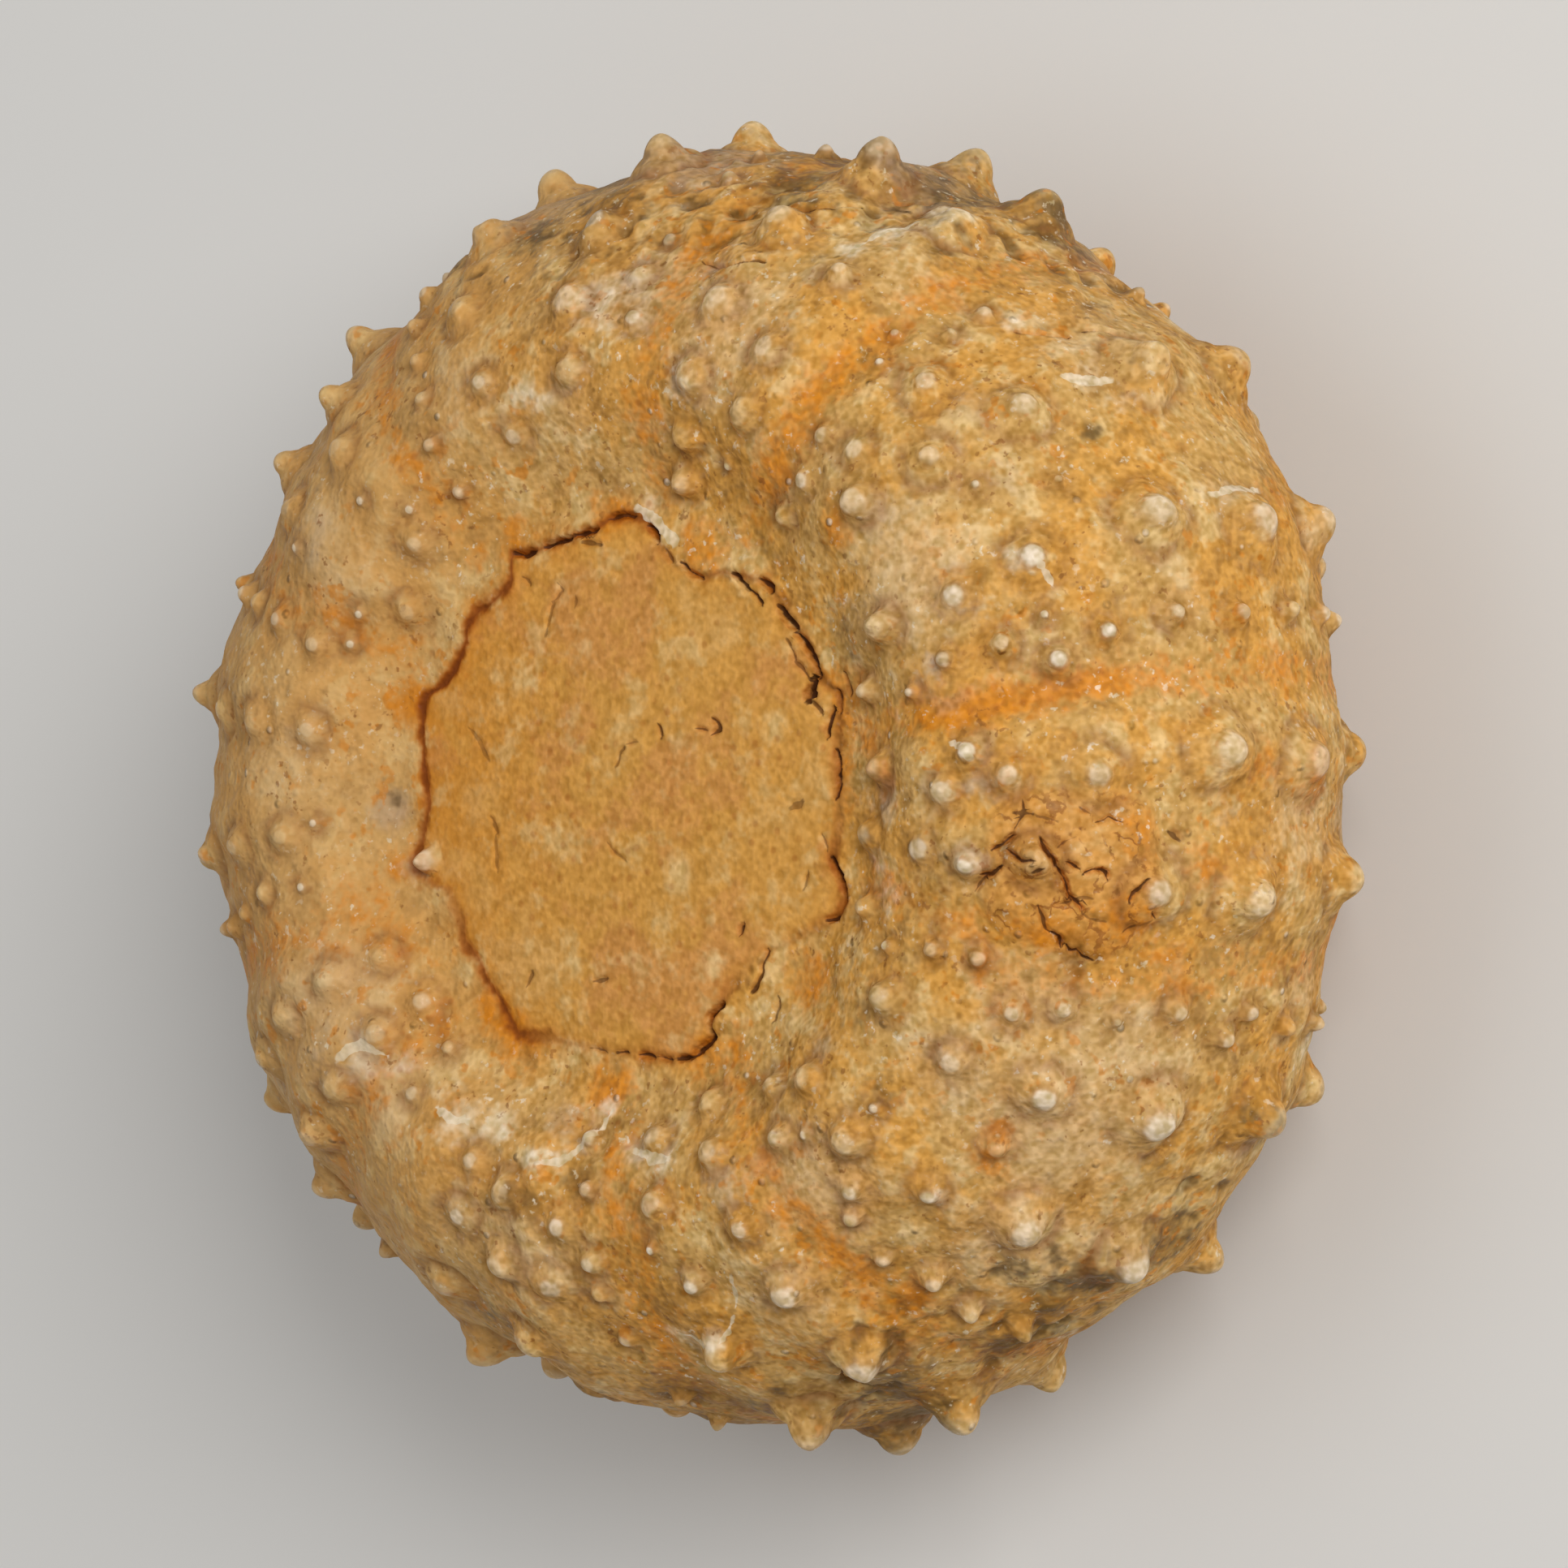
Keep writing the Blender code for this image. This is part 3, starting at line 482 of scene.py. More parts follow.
# The pattern of streaks: its spread round the axis, and its share along the arc.
STREAK_SPREAD = 16.0
STREAK_SHARE = 0.45
# The crackle's cells, and how they are shaken, in millimetres.
CRACKLE_SIZE, CRACKLE_SHAKE, CRACKLE_SHAKE_SIZE = 0.8, 0.5, 0.3
# The granules strewn between the tubercles, and the pores' two rows, in millimetres.
GRANULE_PITCH, GRANULE_SHARE = 0.95, 0.17
PORE_ASIDE, PORE_PITCH, PORE_RADIUS = 0.27, 0.75, 0.15
# Flecks: size, shift, where they start and are full, their least and most, and colour.
FLECKS = (
    (0.28, 5.0, 0.60, 0.68, 0.1, 0.65, "ring"),
    (0.55, 6.0, 0.57, 0.66, 0.1, 0.6, "stain"),
    (0.24, 7.0, 0.60, 0.70, 0.1, 0.7, "chalk"),
)
# The grain's tints: what the stone's colour is multiplied by in the darkest and palest grains.
GRIT_DARK = (0.70, 0.64, 0.43, 1.0)
GRIT_PALE = (1.25, 1.27, 1.36, 1.0)
# How far towards the far side, in metres, the stone greys, and the mottling, the grain
# and the fill's own colour change.
GREYED_FROM, FAR_SIDE, GRIT_FADE, FILL_FAR_SIDE = -4 * MM, 12 * MM, 10 * MM, 8 * MM
# The bumps of the coarse and small textures, the granules and the grain, in grain heights.
COARSE_BUMP, SMALL_BUMP, GRANULE_BUMP, GRAIN_BUMP = 5, 2.5, 3, 0.7

# The stone's mesh: how finely the ball is cut, and how near a tubercle, a knob and a
# crack it is cut finer.
BALL_CUTS = 6
UPPER_SIDE = 37.0
FINE_REACH = 0.62
FINE_ROUGHNESS = 0.4
FINEST_KNOB = 1.15
FINE_CRACK, FINEST_CRACK = 0.35, 0.13
FINE_SEAM = 0.4
LAST_FINEST_ARC = 29.0

# The camera's sensor, near and far ends and shift aside, and the two lights: how far
# right of, above and behind the view's middle they stand, their distance and width.
SENSOR_WIDTH = 36.0
CLIP_START, CLIP_END = 0.01, 20.0
VIEW_ASIDE = 0.184 * MM
MAIN_LIGHT = ((0.22, 0.28, 1.0), 0.4, 0.2)
SECOND_LIGHT = ((-0.9, 0.1, 0.6), 0.4, 0.3)


def shade(red, green, blue):
    """A colour from its 0 to 255 screen values, as Blender's linear ones."""
    channels = (value / 255 for value in (red, green, blue))
    linear = [((value + 0.055) / 1.055) ** 2.4 if value > 0.04045 else value / 12.92 for value in channels]
    return (*linear, 1.0)


def colour(name, description, default):
    """A colour that a user may change."""
    return FloatVectorProperty(
        name=name, description=description, default=default, subtype="COLOR", size=4, min=0, max=1
    )


def length(name, description, default):
    """A length that a user may change."""
    return FloatProperty(name=name, description=description, default=default, min=0, unit="LENGTH")


def strength(name, description, default):
    """A light's strength that a user may change."""
    return FloatProperty(name=name, description=description, default=default, min=0)


def turn(name, description, default):
    """An angle that a user may change."""
    return FloatProperty(name=name, description=description, default=default, unit="ROTATION")


def setting_names(group):
    """The names of a property group's own settings."""
    return [name for name in group.bl_rna.properties.keys() if name not in ("rna_type", "name")]


class FossilStoneColours(bpy.types.PropertyGroup):
    """The colours of the stone."""

    tan: colour("Tan", "The stone's main colour", shade(206, 162, 94))
    ochre: colour("Ochre", "The stone's more golden patches", shade(213, 156, 74))
    # On raised relief, including the tubercles' flanks, cream is partly a painted highlight.
    cream: colour("Cream", "Paler mottling, and the flanks of the tubercles", shade(230, 200, 142))
    bleached: colour("Bleached", "Broad patches of paler, greyer stone", shade(216, 182, 134))
    # In low ground, umber is partly painted shade.
    umber: colour("Umber", "Darker mottling in the hollows", shade(154, 110, 54))
    greyed: colour("Greyed", "The greyer far side of the stone", shade(204, 160, 104))
    fill: colour("Fill", "The sediment that closes the mouth", shade(209, 152, 71))
    blush: colour("Blush", "Pinkish patches in the mouth's fill", shade(202, 136, 78))
    crust: colour("Crust", "The crust of sediment between the tubercles", shade(210, 146, 66))
    stain: colour("Iron stain", "Orange iron stains along the pore zones", shade(206, 124, 10))
    rust: colour("Rust", "Brown rust along the cracks", shade(156, 80, 8))
    deep_rust: colour("Deep rust", "The darkest rust, in the middle of the seam", shade(112, 50, 4))
    chalk: colour("Chalk", "Chalky white patches and scratches", shade(230, 214, 186))
    grey: colour("Mauve grey", "Greyish patches of bare calcite", shade(172, 142, 116))
    # Dirt in the hollows, and painted shade in the pits and near the widest girdle.
    grime: colour("Grime", "Dark dirt left in the hollows", shade(88, 62, 22))
    # Partly worn white calcite, partly a painted highlight on the knobs and granules.
    knob: colour("Knob", "The palest knobs of the tubercles", shade(226, 208, 182))
    # The ring colour is painted shade in the hollow ring round each tubercle, and the colour of real brown
    # flecks.
    ring: colour("Ring", "Brown flecks, and the ring round a tubercle", shade(138, 86, 38))
    # Dark crack colour, partly painted shade in the cracks.
    crack: colour("Crack", "Inside the cracks", shade(60, 27, 4))


class FossilStoneSizes(bpy.types.PropertyGroup):
    """The sizes of the stone's finish."""

    crack_depth: length("Crack depth", "Depth of the crack round the mouth", CRACK_DEPTH * MM)
    fine_height: length("Fine relief", "Height of the finest modelled relief", FINE_HEIGHT * MM)
    ring_depth: length("Ring depth", "Depth of the hollow ring round a tubercle", RING_DEPTH * MM)
    grain_height: length("Grain", "Height of the stone's grain", 0.03 * MM)


class FossilStageSettings(bpy.types.PropertyGroup):
    """The floor, the lights and the camera."""

    floor: colour("Floor", "The plain floor", shade(226, 224, 220))
    floor_size: length("Floor size", "Width of the floor", 3.0)
    key_power: strength("Main light", "Power of the main light in watts", 1.115)
    fill_power: strength("Second light", "Power of the second light in watts", 0.25)
    sky: strength("Sky", "Strength of the light from all round", 0.30)
    distance: length("Camera distance", "From the camera to the stone's widest girdle", 0.26)
    azimuth: turn("Azimuth", "Where the camera stands, from -Y", math.radians(3))
    elevation: turn("Elevation", "The camera's height angle", math.radians(52.5))
    roll: turn("Roll", "How far the camera is turned on its side", QUARTER_TURN)
    view_width: length("View width", "Width that the picture takes in at the stone", 44.436 * MM)


# ---- the bun under the relief ----


class Tubercle(NamedTuple):
    """One tubercle: where it stands, its reach, height and round knob, and how pale it is."""

    angle: float
    arc: float
    reach: float
    height: float
    knob: float
    pale: float


def bun_height(radius, height):
    """Height of a superellipse arch over a point this far from the axis."""
    return height * (1 - (radius / BODY_RADIUS) ** ROUNDNESS) ** (1 / ROUNDNESS)


def bun_profile(samples=1440):
    """The profile from the mouth's middle to the underside's, as radius, height and arc."""
    turn = np.linspace(0, math.pi, samples + 1)
    radius = BODY_RADIUS * np.abs(np.sin(turn)) ** (2 / ROUNDNESS)
    radius[-1] = 0.0
    mouth = float(np.mean(MOUTH_RADII))
    crown = bun_height(radius, CROWN_HEIGHT)
    funnel = bun_height(mouth, CROWN_HEIGHT) - MOUTH_LEVEL
    crown = crown - funnel * np.exp(-(((radius - mouth) / MOUTH_FUNNEL) ** 2))
    fill = MOUTH_LEVEL + FILL_DOME * (1 - (radius / mouth) ** 2)
    crown = np.where(radius < mouth, fill, crown)
    height = np.where(turn <= QUARTER_TURN, crown, -bun_height(radius, BELLY_DEPTH))
    steps = np.hypot(np.diff(radius), np.diff(height))
    return radius, height, np.concatenate([[0.0], np.cumsum(steps)])


PROFILE_RADIUS, PROFILE_HEIGHT, PROFILE_ARC = bun_profile()
FULL_ARC = float(PROFILE_ARC[-1])
MOUTH = float(np.mean(MOUTH_RADII))


def bun_surface(angle, arc):
    """Points of the bare bun, in millimetres."""
    swell = -FIVEFOLD_SWELL * np.cos(ZONES * angle) - OFF_ROUND * np.cos(angle - OFF_ROUND_ANGLE)
    out = np.interp(arc, PROFILE_ARC, PROFILE_RADIUS)
    out = out + swell * np.sin(arc / FULL_ARC * math.pi) ** 2
    up = np.interp(arc, PROFILE_ARC, PROFILE_HEIGHT)
    turned = angle - QUARTER_TURN
    return np.stack([out * np.cos(turned), out * np.sin(turned), up], axis=-1)


def bun_outward(angle, arc):
    """Unit vectors straight out of the bare bun."""
    low = bun_surface(angle, np.minimum(arc + SLOPE_STEP, FULL_ARC))
    high = bun_surface(angle, np.maximum(arc - SLOPE_STEP, 0))
    turned = angle - QUARTER_TURN
    around = np.stack([-np.sin(turned), np.cos(turned), 0 * angle], axis=-1)
    outward = np.cross(low - high, around)
    return outward / np.linalg.norm(outward, axis=1)[:, None]


def wrapped(angle):
    """An angle brought between minus and plus half a turn."""
    return (angle + math.pi) % (2 * math.pi) - math.pi


def seam_arc(angle):
    """The seam's distance from the axis in this direction."""
    degrees, arcs = zip(*SEAM)
    return np.interp(angle, np.radians(degrees), arcs, period=2 * math.pi)


def round_the_mouth(values, angle):
    """A value given every few degrees round the mouth, read in this direction."""
    place = (angle % (2 * math.pi)) / (2 * math.pi) * len(values)
    before = np.floor(place).astype(int) % len(values)
    share = (1 - np.cos((place - np.floor(place)) * math.pi)) / 2
    given = np.array(values)
    return given[before] * (1 - share) + given[(before + 1) % len(values)] * share


# ---- the tubercles ----


def plate_height(arc):
    """How tall a plate is at this distance along the surface."""
    reach = GROWTH_TOWARDS_MOUTH if arc < TALLEST_PLATE_ARC else GROWTH_TOWARDS_BASE
    return PLATE_SHORTEST + PLATE_GROWTH * math.exp(-(((arc - TALLEST_PLATE_ARC) / reach) ** 2))


def column_arcs(start, first, last):
    """Where the tubercles of one column stand, plate by plate both ways from one of them."""
    arcs = [start]
    while arcs[-1] + plate_height(arcs[-1]) < last:
        arcs.append(arcs[-1] + plate_height(arcs[-1]))
    while arcs[0] - plate_height(arcs[0]) > first:
        arcs.insert(0, arcs[0] - plate_height(arcs[0]))
    return arcs


def large_tubercle(angle, arc, wear, pale):
    """A large tubercle sized by its plate, and worn lower by a share of its height."""
    plate = plate_height(arc)
    reach = REACH_LEAST + REACH_SHARE * plate
    height = (HEIGHT_LEAST + HEIGHT_SHARE * plate) * wear
    far = max(0.0, -math.cos(angle) - FAR_FROM) / (1 - FAR_FROM)
    knob = (KNOB_LEAST + KNOB_SHARE * plate) * (1 - (1 - FAR_KNOB_SHARE) * far)
    return Tubercle(angle, arc, reach, height, knob, pale)


def zone_tubercles(middle, zone, first, chance, tint):
    """The two alternating columns of large tubercles of one zone."""
    stray, spread, *starts = zone
    found = []
    for side, start in zip((-1, 1), starts):
        column = middle + math.radians(stray + side * spread)
        for arc in column_arcs(start, first, FULL_ARC - LAST_TUBERCLE):
            angle = column + chance.uniform(-ANGLE_STRAY, ANGLE_STRAY)
            place = arc + chance.uniform(-ARC_STRAY, ARC_STRAY)
            wear = chance.uniform(WEAR_LOWEST, WEAR_HIGHEST)
            found.append(large_tubercle(angle, place, wear, tint.uniform(0.0, LARGE_PALEST)))
    return found


def row_tubercles(angle, chance, tint):
    """One row of small tubercles along a pore zone."""
    found = []
    arc = MOUTH + FIRST_TUBERCLE + SMALL_ROW_START * chance.uniform(*SMALL_START_SPREAD)
    while arc < LAST_SMALL:
        stray = chance.uniform(-SMALL_ROW_STRAY, SMALL_ROW_STRAY)
        share = chance.uniform(*SMALL_SIZE_SPREAD)
        reach = SMALL_REACH * share
        height = SMALL_HEIGHT * share
        if tint.random() < SMALL_KEPT:
            pale = tint.uniform(0.0, SMALL_PALEST)
            found.append(Tubercle(angle + stray, arc, reach, height, SMALL_KNOB, pale))
        pitch = max(SMALL_PITCH_LEAST, SMALL_PITCH_SHARE * plate_height(arc))
        arc += pitch * chance.uniform(*SMALL_PITCH_SPREAD)
    return found


def set_out_tubercles():
    """Every tubercle of the solid, zone by zone."""
    chance = random.Random(SEED)
    tint = random.Random(SEED + 1)
    first = MOUTH + FIRST_TUBERCLE
    found = []
    for zone in range(ZONES):
        middle = zone * ZONE_TURN
        between = middle + ZONE_TURN / 2
        found += zone_tubercles(middle, AMBULACRA[zone], first, chance, tint)
        start = first + INTERAMBULACRUM_START
        found += zone_tubercles(between, INTERAMBULACRA[zone], start, chance, tint)
        for side in (-1, 1):
            found += row_tubercles(middle + side * SMALL_ROW, chance, tint)
    return found


def own_tubercle(degrees, arc, kind, pale):
    """A tubercle with a place of its own, sized by its kind and its plate."""
    angle = math.radians(degrees)
    if kind in SMALL_KINDS:
        return Tubercle(angle, arc, *SMALL_KINDS[kind], pale)
    reach, height, knob = PLATE_KINDS[kind]
    full = large_tubercle(angle, arc, 1.0, pale)
    return full._replace(reach=full.reach * reach, height=full.height * height, knob=full.knob * knob)


def middles(tubercles):
    """The tubercles' places on the bare bun."""
    return bun_surface(np.array([t.angle for t in tubercles]), np.array([t.arc for t in tubercles]))


def worn(tubercle, middle):
    """The tubercle, lowered where a worn patch reaches it."""
    kept = 1.0
    for degrees, arc, reach, share in WORN_PATCHES:
        patch = bun_surface(np.array([math.radians(degrees)]), np.array([arc]))[0]
        weight = math.exp(-((np.linalg.norm(middle - patch) / reach) ** 4))
        kept = min(kept, 1 - (1 - share) * weight)
    return tubercle._replace(height=tubercle.height * kept)


def all_tubercles():
    """The tubercles with places of their own, and the set-out ones that stay clear of them."""
    own = [own_tubercle(*row) for row in OWN_TUBERCLES]
    own_middles = middles(own)
    own_reach = np.array([t.reach for t in own])
    found = [worn(tubercle, middle) for tubercle, middle in zip(own, own_middles)]
    set_out = set_out_tubercles()
    for tubercle, middle in zip(set_out, middles(set_out)):
        gaps = np.linalg.norm(own_middles - middle, axis=1)
        if np.all(gaps > OWN_SPACE * (own_reach + tubercle.reach)):
            found.append(worn(tubercle, middle))
    return found


def tubercle_profile(distance, tubercle):
    """Height of a tubercle's hollow flank and of the blunt knob on it, at a distance from its middle."""
    foot = math.exp(-((1 / FLANK_WIDTH) ** FLANK_HOLLOW))
    flank = np.exp(-((distance / (FLANK_WIDTH * tubercle.reach)) ** FLANK_HOLLOW))
    flank = np.clip((flank - foot) / (1 - foot), 0, 1)
    knob = np.clip(1 - (distance / (KNOB_WIDTH * tubercle.knob)) ** KNOB_BLUNTNESS, 0, 1) ** KNOB_STEEPNESS
    return tubercle.height * (FLANK_SHARE * flank + (1 - FLANK_SHARE) * knob)


# ---- the cracks and scratches ----


def line_places(places, step=LINE_STEP):
    """Evenly spaced places along a line through these, as angle and arc."""
    angles = np.unwrap(np.radians([degrees for degrees, _ in places]))
    arcs = np.array([arc for _, arc in places])
    corners = bun_surface(angles, arcs)
    walked = np.concatenate([[0], np.cumsum(np.linalg.norm(np.diff(corners, axis=0), axis=1))])
    steps = np.arange(0, walked[-1] + step, step)
    return np.interp(steps, walked, angles), np.interp(steps, walked, arcs)


def wandering(angle, arc, seed):
    """The line shaken sideways a little, so that it runs as a break does."""
    base = bun_surface(angle, arc)
    fine = [noise_at(base, WANDER_SIZE, seed + axis) for axis in range(3)]
    coarse = [noise_at(base, 3 * WANDER_SIZE, axis) for axis in range(3)]
    return base + WANDER * np.stack([sum(pair) for pair in zip(fine, coarse)], axis=-1)


class Lines:
    """Lines on the stone, from which distances are measured."""

    def __init__(self, rows):
        """The lines, each a half width, a depth and the places it runs through."""
        self.points, self.sides, self.half_widths, self.depths = [], [], [], []
        for count, (half_width, depth, *places) in enumerate(rows):
            angle, arc = line_places(places)
            points = wandering(angle, arc, 3 * (count + 1))
            side = np.cross(bun_outward(angle, arc), np.gradient(points, axis=0))
            taper = np.sin(np.linspace(TAPER_START, math.pi - TAPER_START, len(angle))) ** TAPER_BLUNTNESS
            self.points.append(points)
            self.sides.append(side / np.linalg.norm(side, axis=1)[:, None])
            self.half_widths.append(half_width * taper)
            self.depths.append(np.full(len(angle), depth))

    def measure(self, points):
        """From each point to the nearest line: away, across, and the line's half width and depth."""
        lines = np.concatenate(self.points)
        tree = KDTree(len(lines))
        for index, point in enumerate(lines):
            tree.insert(point, index)
        tree.balance()
        found = [tree.find(point) for point in points]
        index = np.array([hit[1] for hit in found])
        away = np.array([hit[2] for hit in found])
        across = np.einsum("ij,ij->i", points - lines[index], np.concatenate(self.sides)[index])
        return away, across, np.concatenate(self.half_widths)[index], np.concatenate(self.depths)[index]


def from_cracks(points):
    """From each point: away from the nearest crack's edge, across it, its half width and depth."""
    away, across, half_width, depth = Lines(CRACKS).measure(points)
    half_width = half_width * (1 + CRACK_FRAY * noise_at(points, CRACK_FRAY_SIZE, 5))
    return away - half_width, across, half_width, depth


def from_scratches(points):
    """From each point: away from the nearest scratch's edge, across it, and its half width."""
    scratches = Lines([(half_width, 0.0, *places) for half_width, *places in SCRATCHES])
    away, across, half_width, _ = scratches.measure(points)
    half_width = half_width * (1 + SCRATCH_FRAY * noise_at(points, SCRATCH_FRAY_SIZE, 15))
    return away - half_width, across, half_width


def stain_rows():
    """The iron stains' patches, with each band as a run of overlapping ones."""
    rows = list(STAIN)
    for reach, strength, *places in STAIN_BANDS:
        for angle, arc in zip(*line_places(places, reach / 2)):
            rows.append((math.degrees(angle), arc, reach, strength))
    return rows


# ---- the relief over the bun ----


def noise_at(points, size, seed=0):
    """Smooth noise between about -1 and 1, of this size in millimetres, the same each time."""
    offset = np.array([17.0 * seed, 0.0, 0.0])
    return np.array([noise.noise(point) for point in points / size + offset])


def zone_relief(angle, arc):
    """Ridges along the columns of tubercles, and the sunken pore zones between the zones."""
    from_middle = np.abs(wrapped(angle * ZONES) / ZONES)
    fade = np.clip((arc - MOUTH) / RIDGES_RISE, 0, 1)
    pores = np.exp(-(((from_middle - PORE_ZONE) / PORE_ZONE_HALF_WIDTH) ** 2))
    ambulacral = (from_middle - AMBULACRUM_RIDGE) / RIDGE_HALF_WIDTH
    interambulacral = (ZONE_TURN / 2 - from_middle - INTERAMBULACRUM_RIDGE) / RIDGE_HALF_WIDTH
    ridges = np.exp(-(ambulacral**2)) + np.exp(-(interambulacral**2))
    return fade * (COLUMN_RIDGE * ridges - PORE_ZONE_DEPTH * pores)


def crust_cover(angle, arc):
    """How much the crust of sediment covers each place, from nought to one."""
    across = wrapped(angle - CRUST_ANGLE) / CRUST_HALF_ANGLE
    along = (arc - CRUST_ARC) / CRUST_HALF_ARC
    return np.clip(CRUST_STEEPNESS * (1 - (across**4 + along**4)), 0, 1)


def patches(points, listed, strewn=0, seed=0):
    """How strongly a finish's patches cover each point: the listed ones, and some strewn below."""
    chance = random.Random(seed)
    rows = list(listed)
    for _ in range(strewn):
        place = (chance.uniform(-180, 180), chance.uniform(STREWN_FROM, FULL_ARC - STREWN_SHORT_OF_BASE))
        rows.append((*place, chance.uniform(*STREWN_REACH), chance.uniform(*STREWN_STRENGTH)))
    angles = np.radians([row[0] for row in rows])
    centres = bun_surface(angles, np.array([row[1] for row in rows]))
    cover = np.zeros(len(points))
    for centre, (_, _, reach, strength) in zip(centres, rows):
        distance = np.linalg.norm(points - centre, axis=1)
        cover = np.maximum(cover, strength * np.exp(-((distance / reach) ** 2)))
    return cover


def roughness(base, crust):
    """How broken the ground is at each point."""
    return np.maximum(patches(base, ROUGH, STREWN["rough"], SEED + 6), CRUST_ROUGHNESS * crust)


class Relief:
    """The stone's surface at a set of places: its points, and what the finish reads there."""

    def __init__(self, angle, arc, sizes):
        self.angle = angle
        self.arc = arc
        self.base = bun_surface(angle, arc)
        self.from_mouth = arc - seam_arc(angle)
        self.add_ground(sizes)
        self.add_tubercles(sizes)
        self.add_cracks(sizes)

    def add_ground(self, sizes):
        """The ridges and furrows, the uneven ground and the crust."""
        lumps = LUMP_HEIGHT * noise_at(self.base, LUMP_SIZE) + GRIT_HEIGHT * noise_at(self.base, GRIT_SIZE)
        fine = sizes.fine_height / MM * noise_at(self.base, FINE_SIZE, 2)
        self.crust = crust_cover(self.angle, self.arc)
        ground = zone_relief(self.angle, self.arc) + lumps
        ground = np.maximum(ground, ground / 2 + CRUST_HEIGHT * self.crust)
        rough = roughness(self.base, self.crust)
        broken = np.zeros(len(self.arc))
        for seed, (size, height) in enumerate(BROKEN_RELIEF):
            broken += height * noise_at(self.base, size, 6 + seed)
        pits = np.clip(noise_at(self.base, PIT_SIZE, 9) * PIT_STEEPNESS - PIT_START, 0, 1)
        self.hollow = rough * (1 - self.crust) * pits
        worn_back = patches(self.base, WORN_BACK)
        self.height = ground + fine + rough * broken - PIT_DEPTH * self.hollow - worn_back
        self.rough = rough

    def add_tubercles(self, sizes):
        """The tubercles, with the hollow ring round each one."""
        tubercles = all_tubercles()
        count = len(self.arc)
        uneven = 1 + UNEVEN_SHARE * noise_at(self.base, UNEVEN_SIZE, 4)
        rise, self.ring = np.zeros(count), np.zeros(count)
        self.knob, self.pale = np.zeros(count), np.zeros(count)
        for middle, tubercle in zip(middles(tubercles), tubercles):
            distance = np.linalg.norm(self.base - middle, axis=1)
            near = np.flatnonzero(distance < tubercle.reach * RELIEF_REACH)
            away = distance[near] * uneven[near]
            rise[near] = np.maximum(rise[near], tubercle_profile(away, tubercle))
            ring = np.exp(-(((away - RING_SHARE * tubercle.reach) / RING_HALF_WIDTH) ** 2))
            self.ring[near] = np.maximum(self.ring[near], ring)
            knob = np.clip(KNOB_REACH - away / tubercle.knob, 0, 1)
            closer = knob > self.knob[near]
            self.knob[near] = np.where(closer, knob, self.knob[near])
            pale = away < tubercle.knob * PALE_REACH
            self.pale[near] = np.where(pale, tubercle.pale, self.pale[near])
        self.proud = self.height + PROUD_SHARE * rise
        self.height += rise - sizes.ring_depth / MM * self.ring
        into_fill = np.clip(-self.from_mouth / FILL_EDGE, 0, 1)
        self.height *= 1 - (1 - FILL_UNEVENNESS) * into_fill

    def add_cracks(self, sizes):
        """The cracks, cut into the stone."""
        self.crack_away, self.crack_across, self.crack_width, self.crack_depth = from_cracks(self.base)
        deepened = sizes.crack_depth / (CRACK_DEPTH * MM)
        self.height -= deepened * self.crack_depth * np.clip(1 - self.crack_away / CRACK_LIP, 0, 1)
        groove = SEAM_DEPTH * round_the_mouth(SEAM_RUST, self.angle)
        self.height -= groove * np.exp(-((self.from_mouth / SEAM_HALF_WIDTH) ** 2))

    def points(self):
        """The surface points in metres, with the worn underside level at the stone's base."""
        points = self.base + bun_outward(self.angle, self.arc) * self.height[:, None]
        level = WORN_DEPTH - BELLY_DEPTH
        points[:, 2] = np.maximum(points[:, 2], level) - level
        return points * MM + np.array([0, 0, BASE_LEVEL])

    def streak_map(self):
        """Places in metres for a pattern drawn out along the columns."""
        turned = [STREAK_SPREAD * np.cos(self.angle), STREAK_SPREAD * np.sin(self.angle)]
        return np.stack([*turned, self.arc * STREAK_SHARE], axis=-1) * MM

    def finishes(self):
        """What the stone's material reads at each point, by name."""
        from_middle = np.abs(wrapped(self.angle * ZONES) / ZONES)
        out = np.hypot(self.base[:, 0], self.base[:, 1])
        scratch_away, scratch_across, scratch_width = from_scratches(self.base)
        return {
            "knob": self.knob,
            "pale": self.pale,
            "ring": self.ring,
            "proud": self.proud,
            "rough": self.rough,
            "hollow": self.hollow,
            "crust": self.crust,
            "crack_away": np.clip(self.crack_away, -0.5, 2.0),
            "crack_across": np.clip(self.crack_across, -2.0, 2.0),
            "crack_width": self.crack_width,
            "crack_depth": self.crack_depth,
            "scratch_away": np.clip(scratch_away, -0.5, 2.0),
            "scratch_across": np.clip(scratch_across, -2.0, 2.0),
            "scratch_width": scratch_width,
            "rust": round_the_mouth(SEAM_RUST, self.angle),
            "from_mouth": np.clip(self.from_mouth, -3, 6),
            "from_pores": np.abs(from_middle - PORE_ZONE) * out,
            "arc": self.arc,
            "chalk": patches(self.base, CHALK, STREWN["chalk"], SEED + 2),
            "stain": patches(self.base, stain_rows(), STREWN["stain"], SEED + 3),
            "bleached": patches(self.base, BLEACHED, STREWN["bleached"], SEED + 7),
            "grey": patches(self.base, GREY, STREWN["grey"], SEED + 4),
            "grime": patches(self.base, GRIME_AND_SHADE, STREWN["grime"], SEED + 5),
        }


# ---- the stone's mesh ----


def deselect_all():
    """Nothing is left selected."""
    bpy.ops.object.select_all(action="DESELECT")


def on_ball(points):
    """The angle and arc that each point of the ball stands for."""
    unit = points / np.linalg.norm(points, axis=1)[:, None]
    angle = wrapped(np.arctan2(unit[:, 1], unit[:, 0]) + QUARTER_TURN)
    return angle, np.arccos(np.clip(unit[:, 2], -1, 1)) / math.pi * FULL_ARC


def vertex_points(mesh):
    """The places of a mesh's vertices."""
    points = np.empty(len(mesh.vertices) * 3)
    mesh.vertices.foreach_get("co", points)
    return points.reshape(-1, 3)


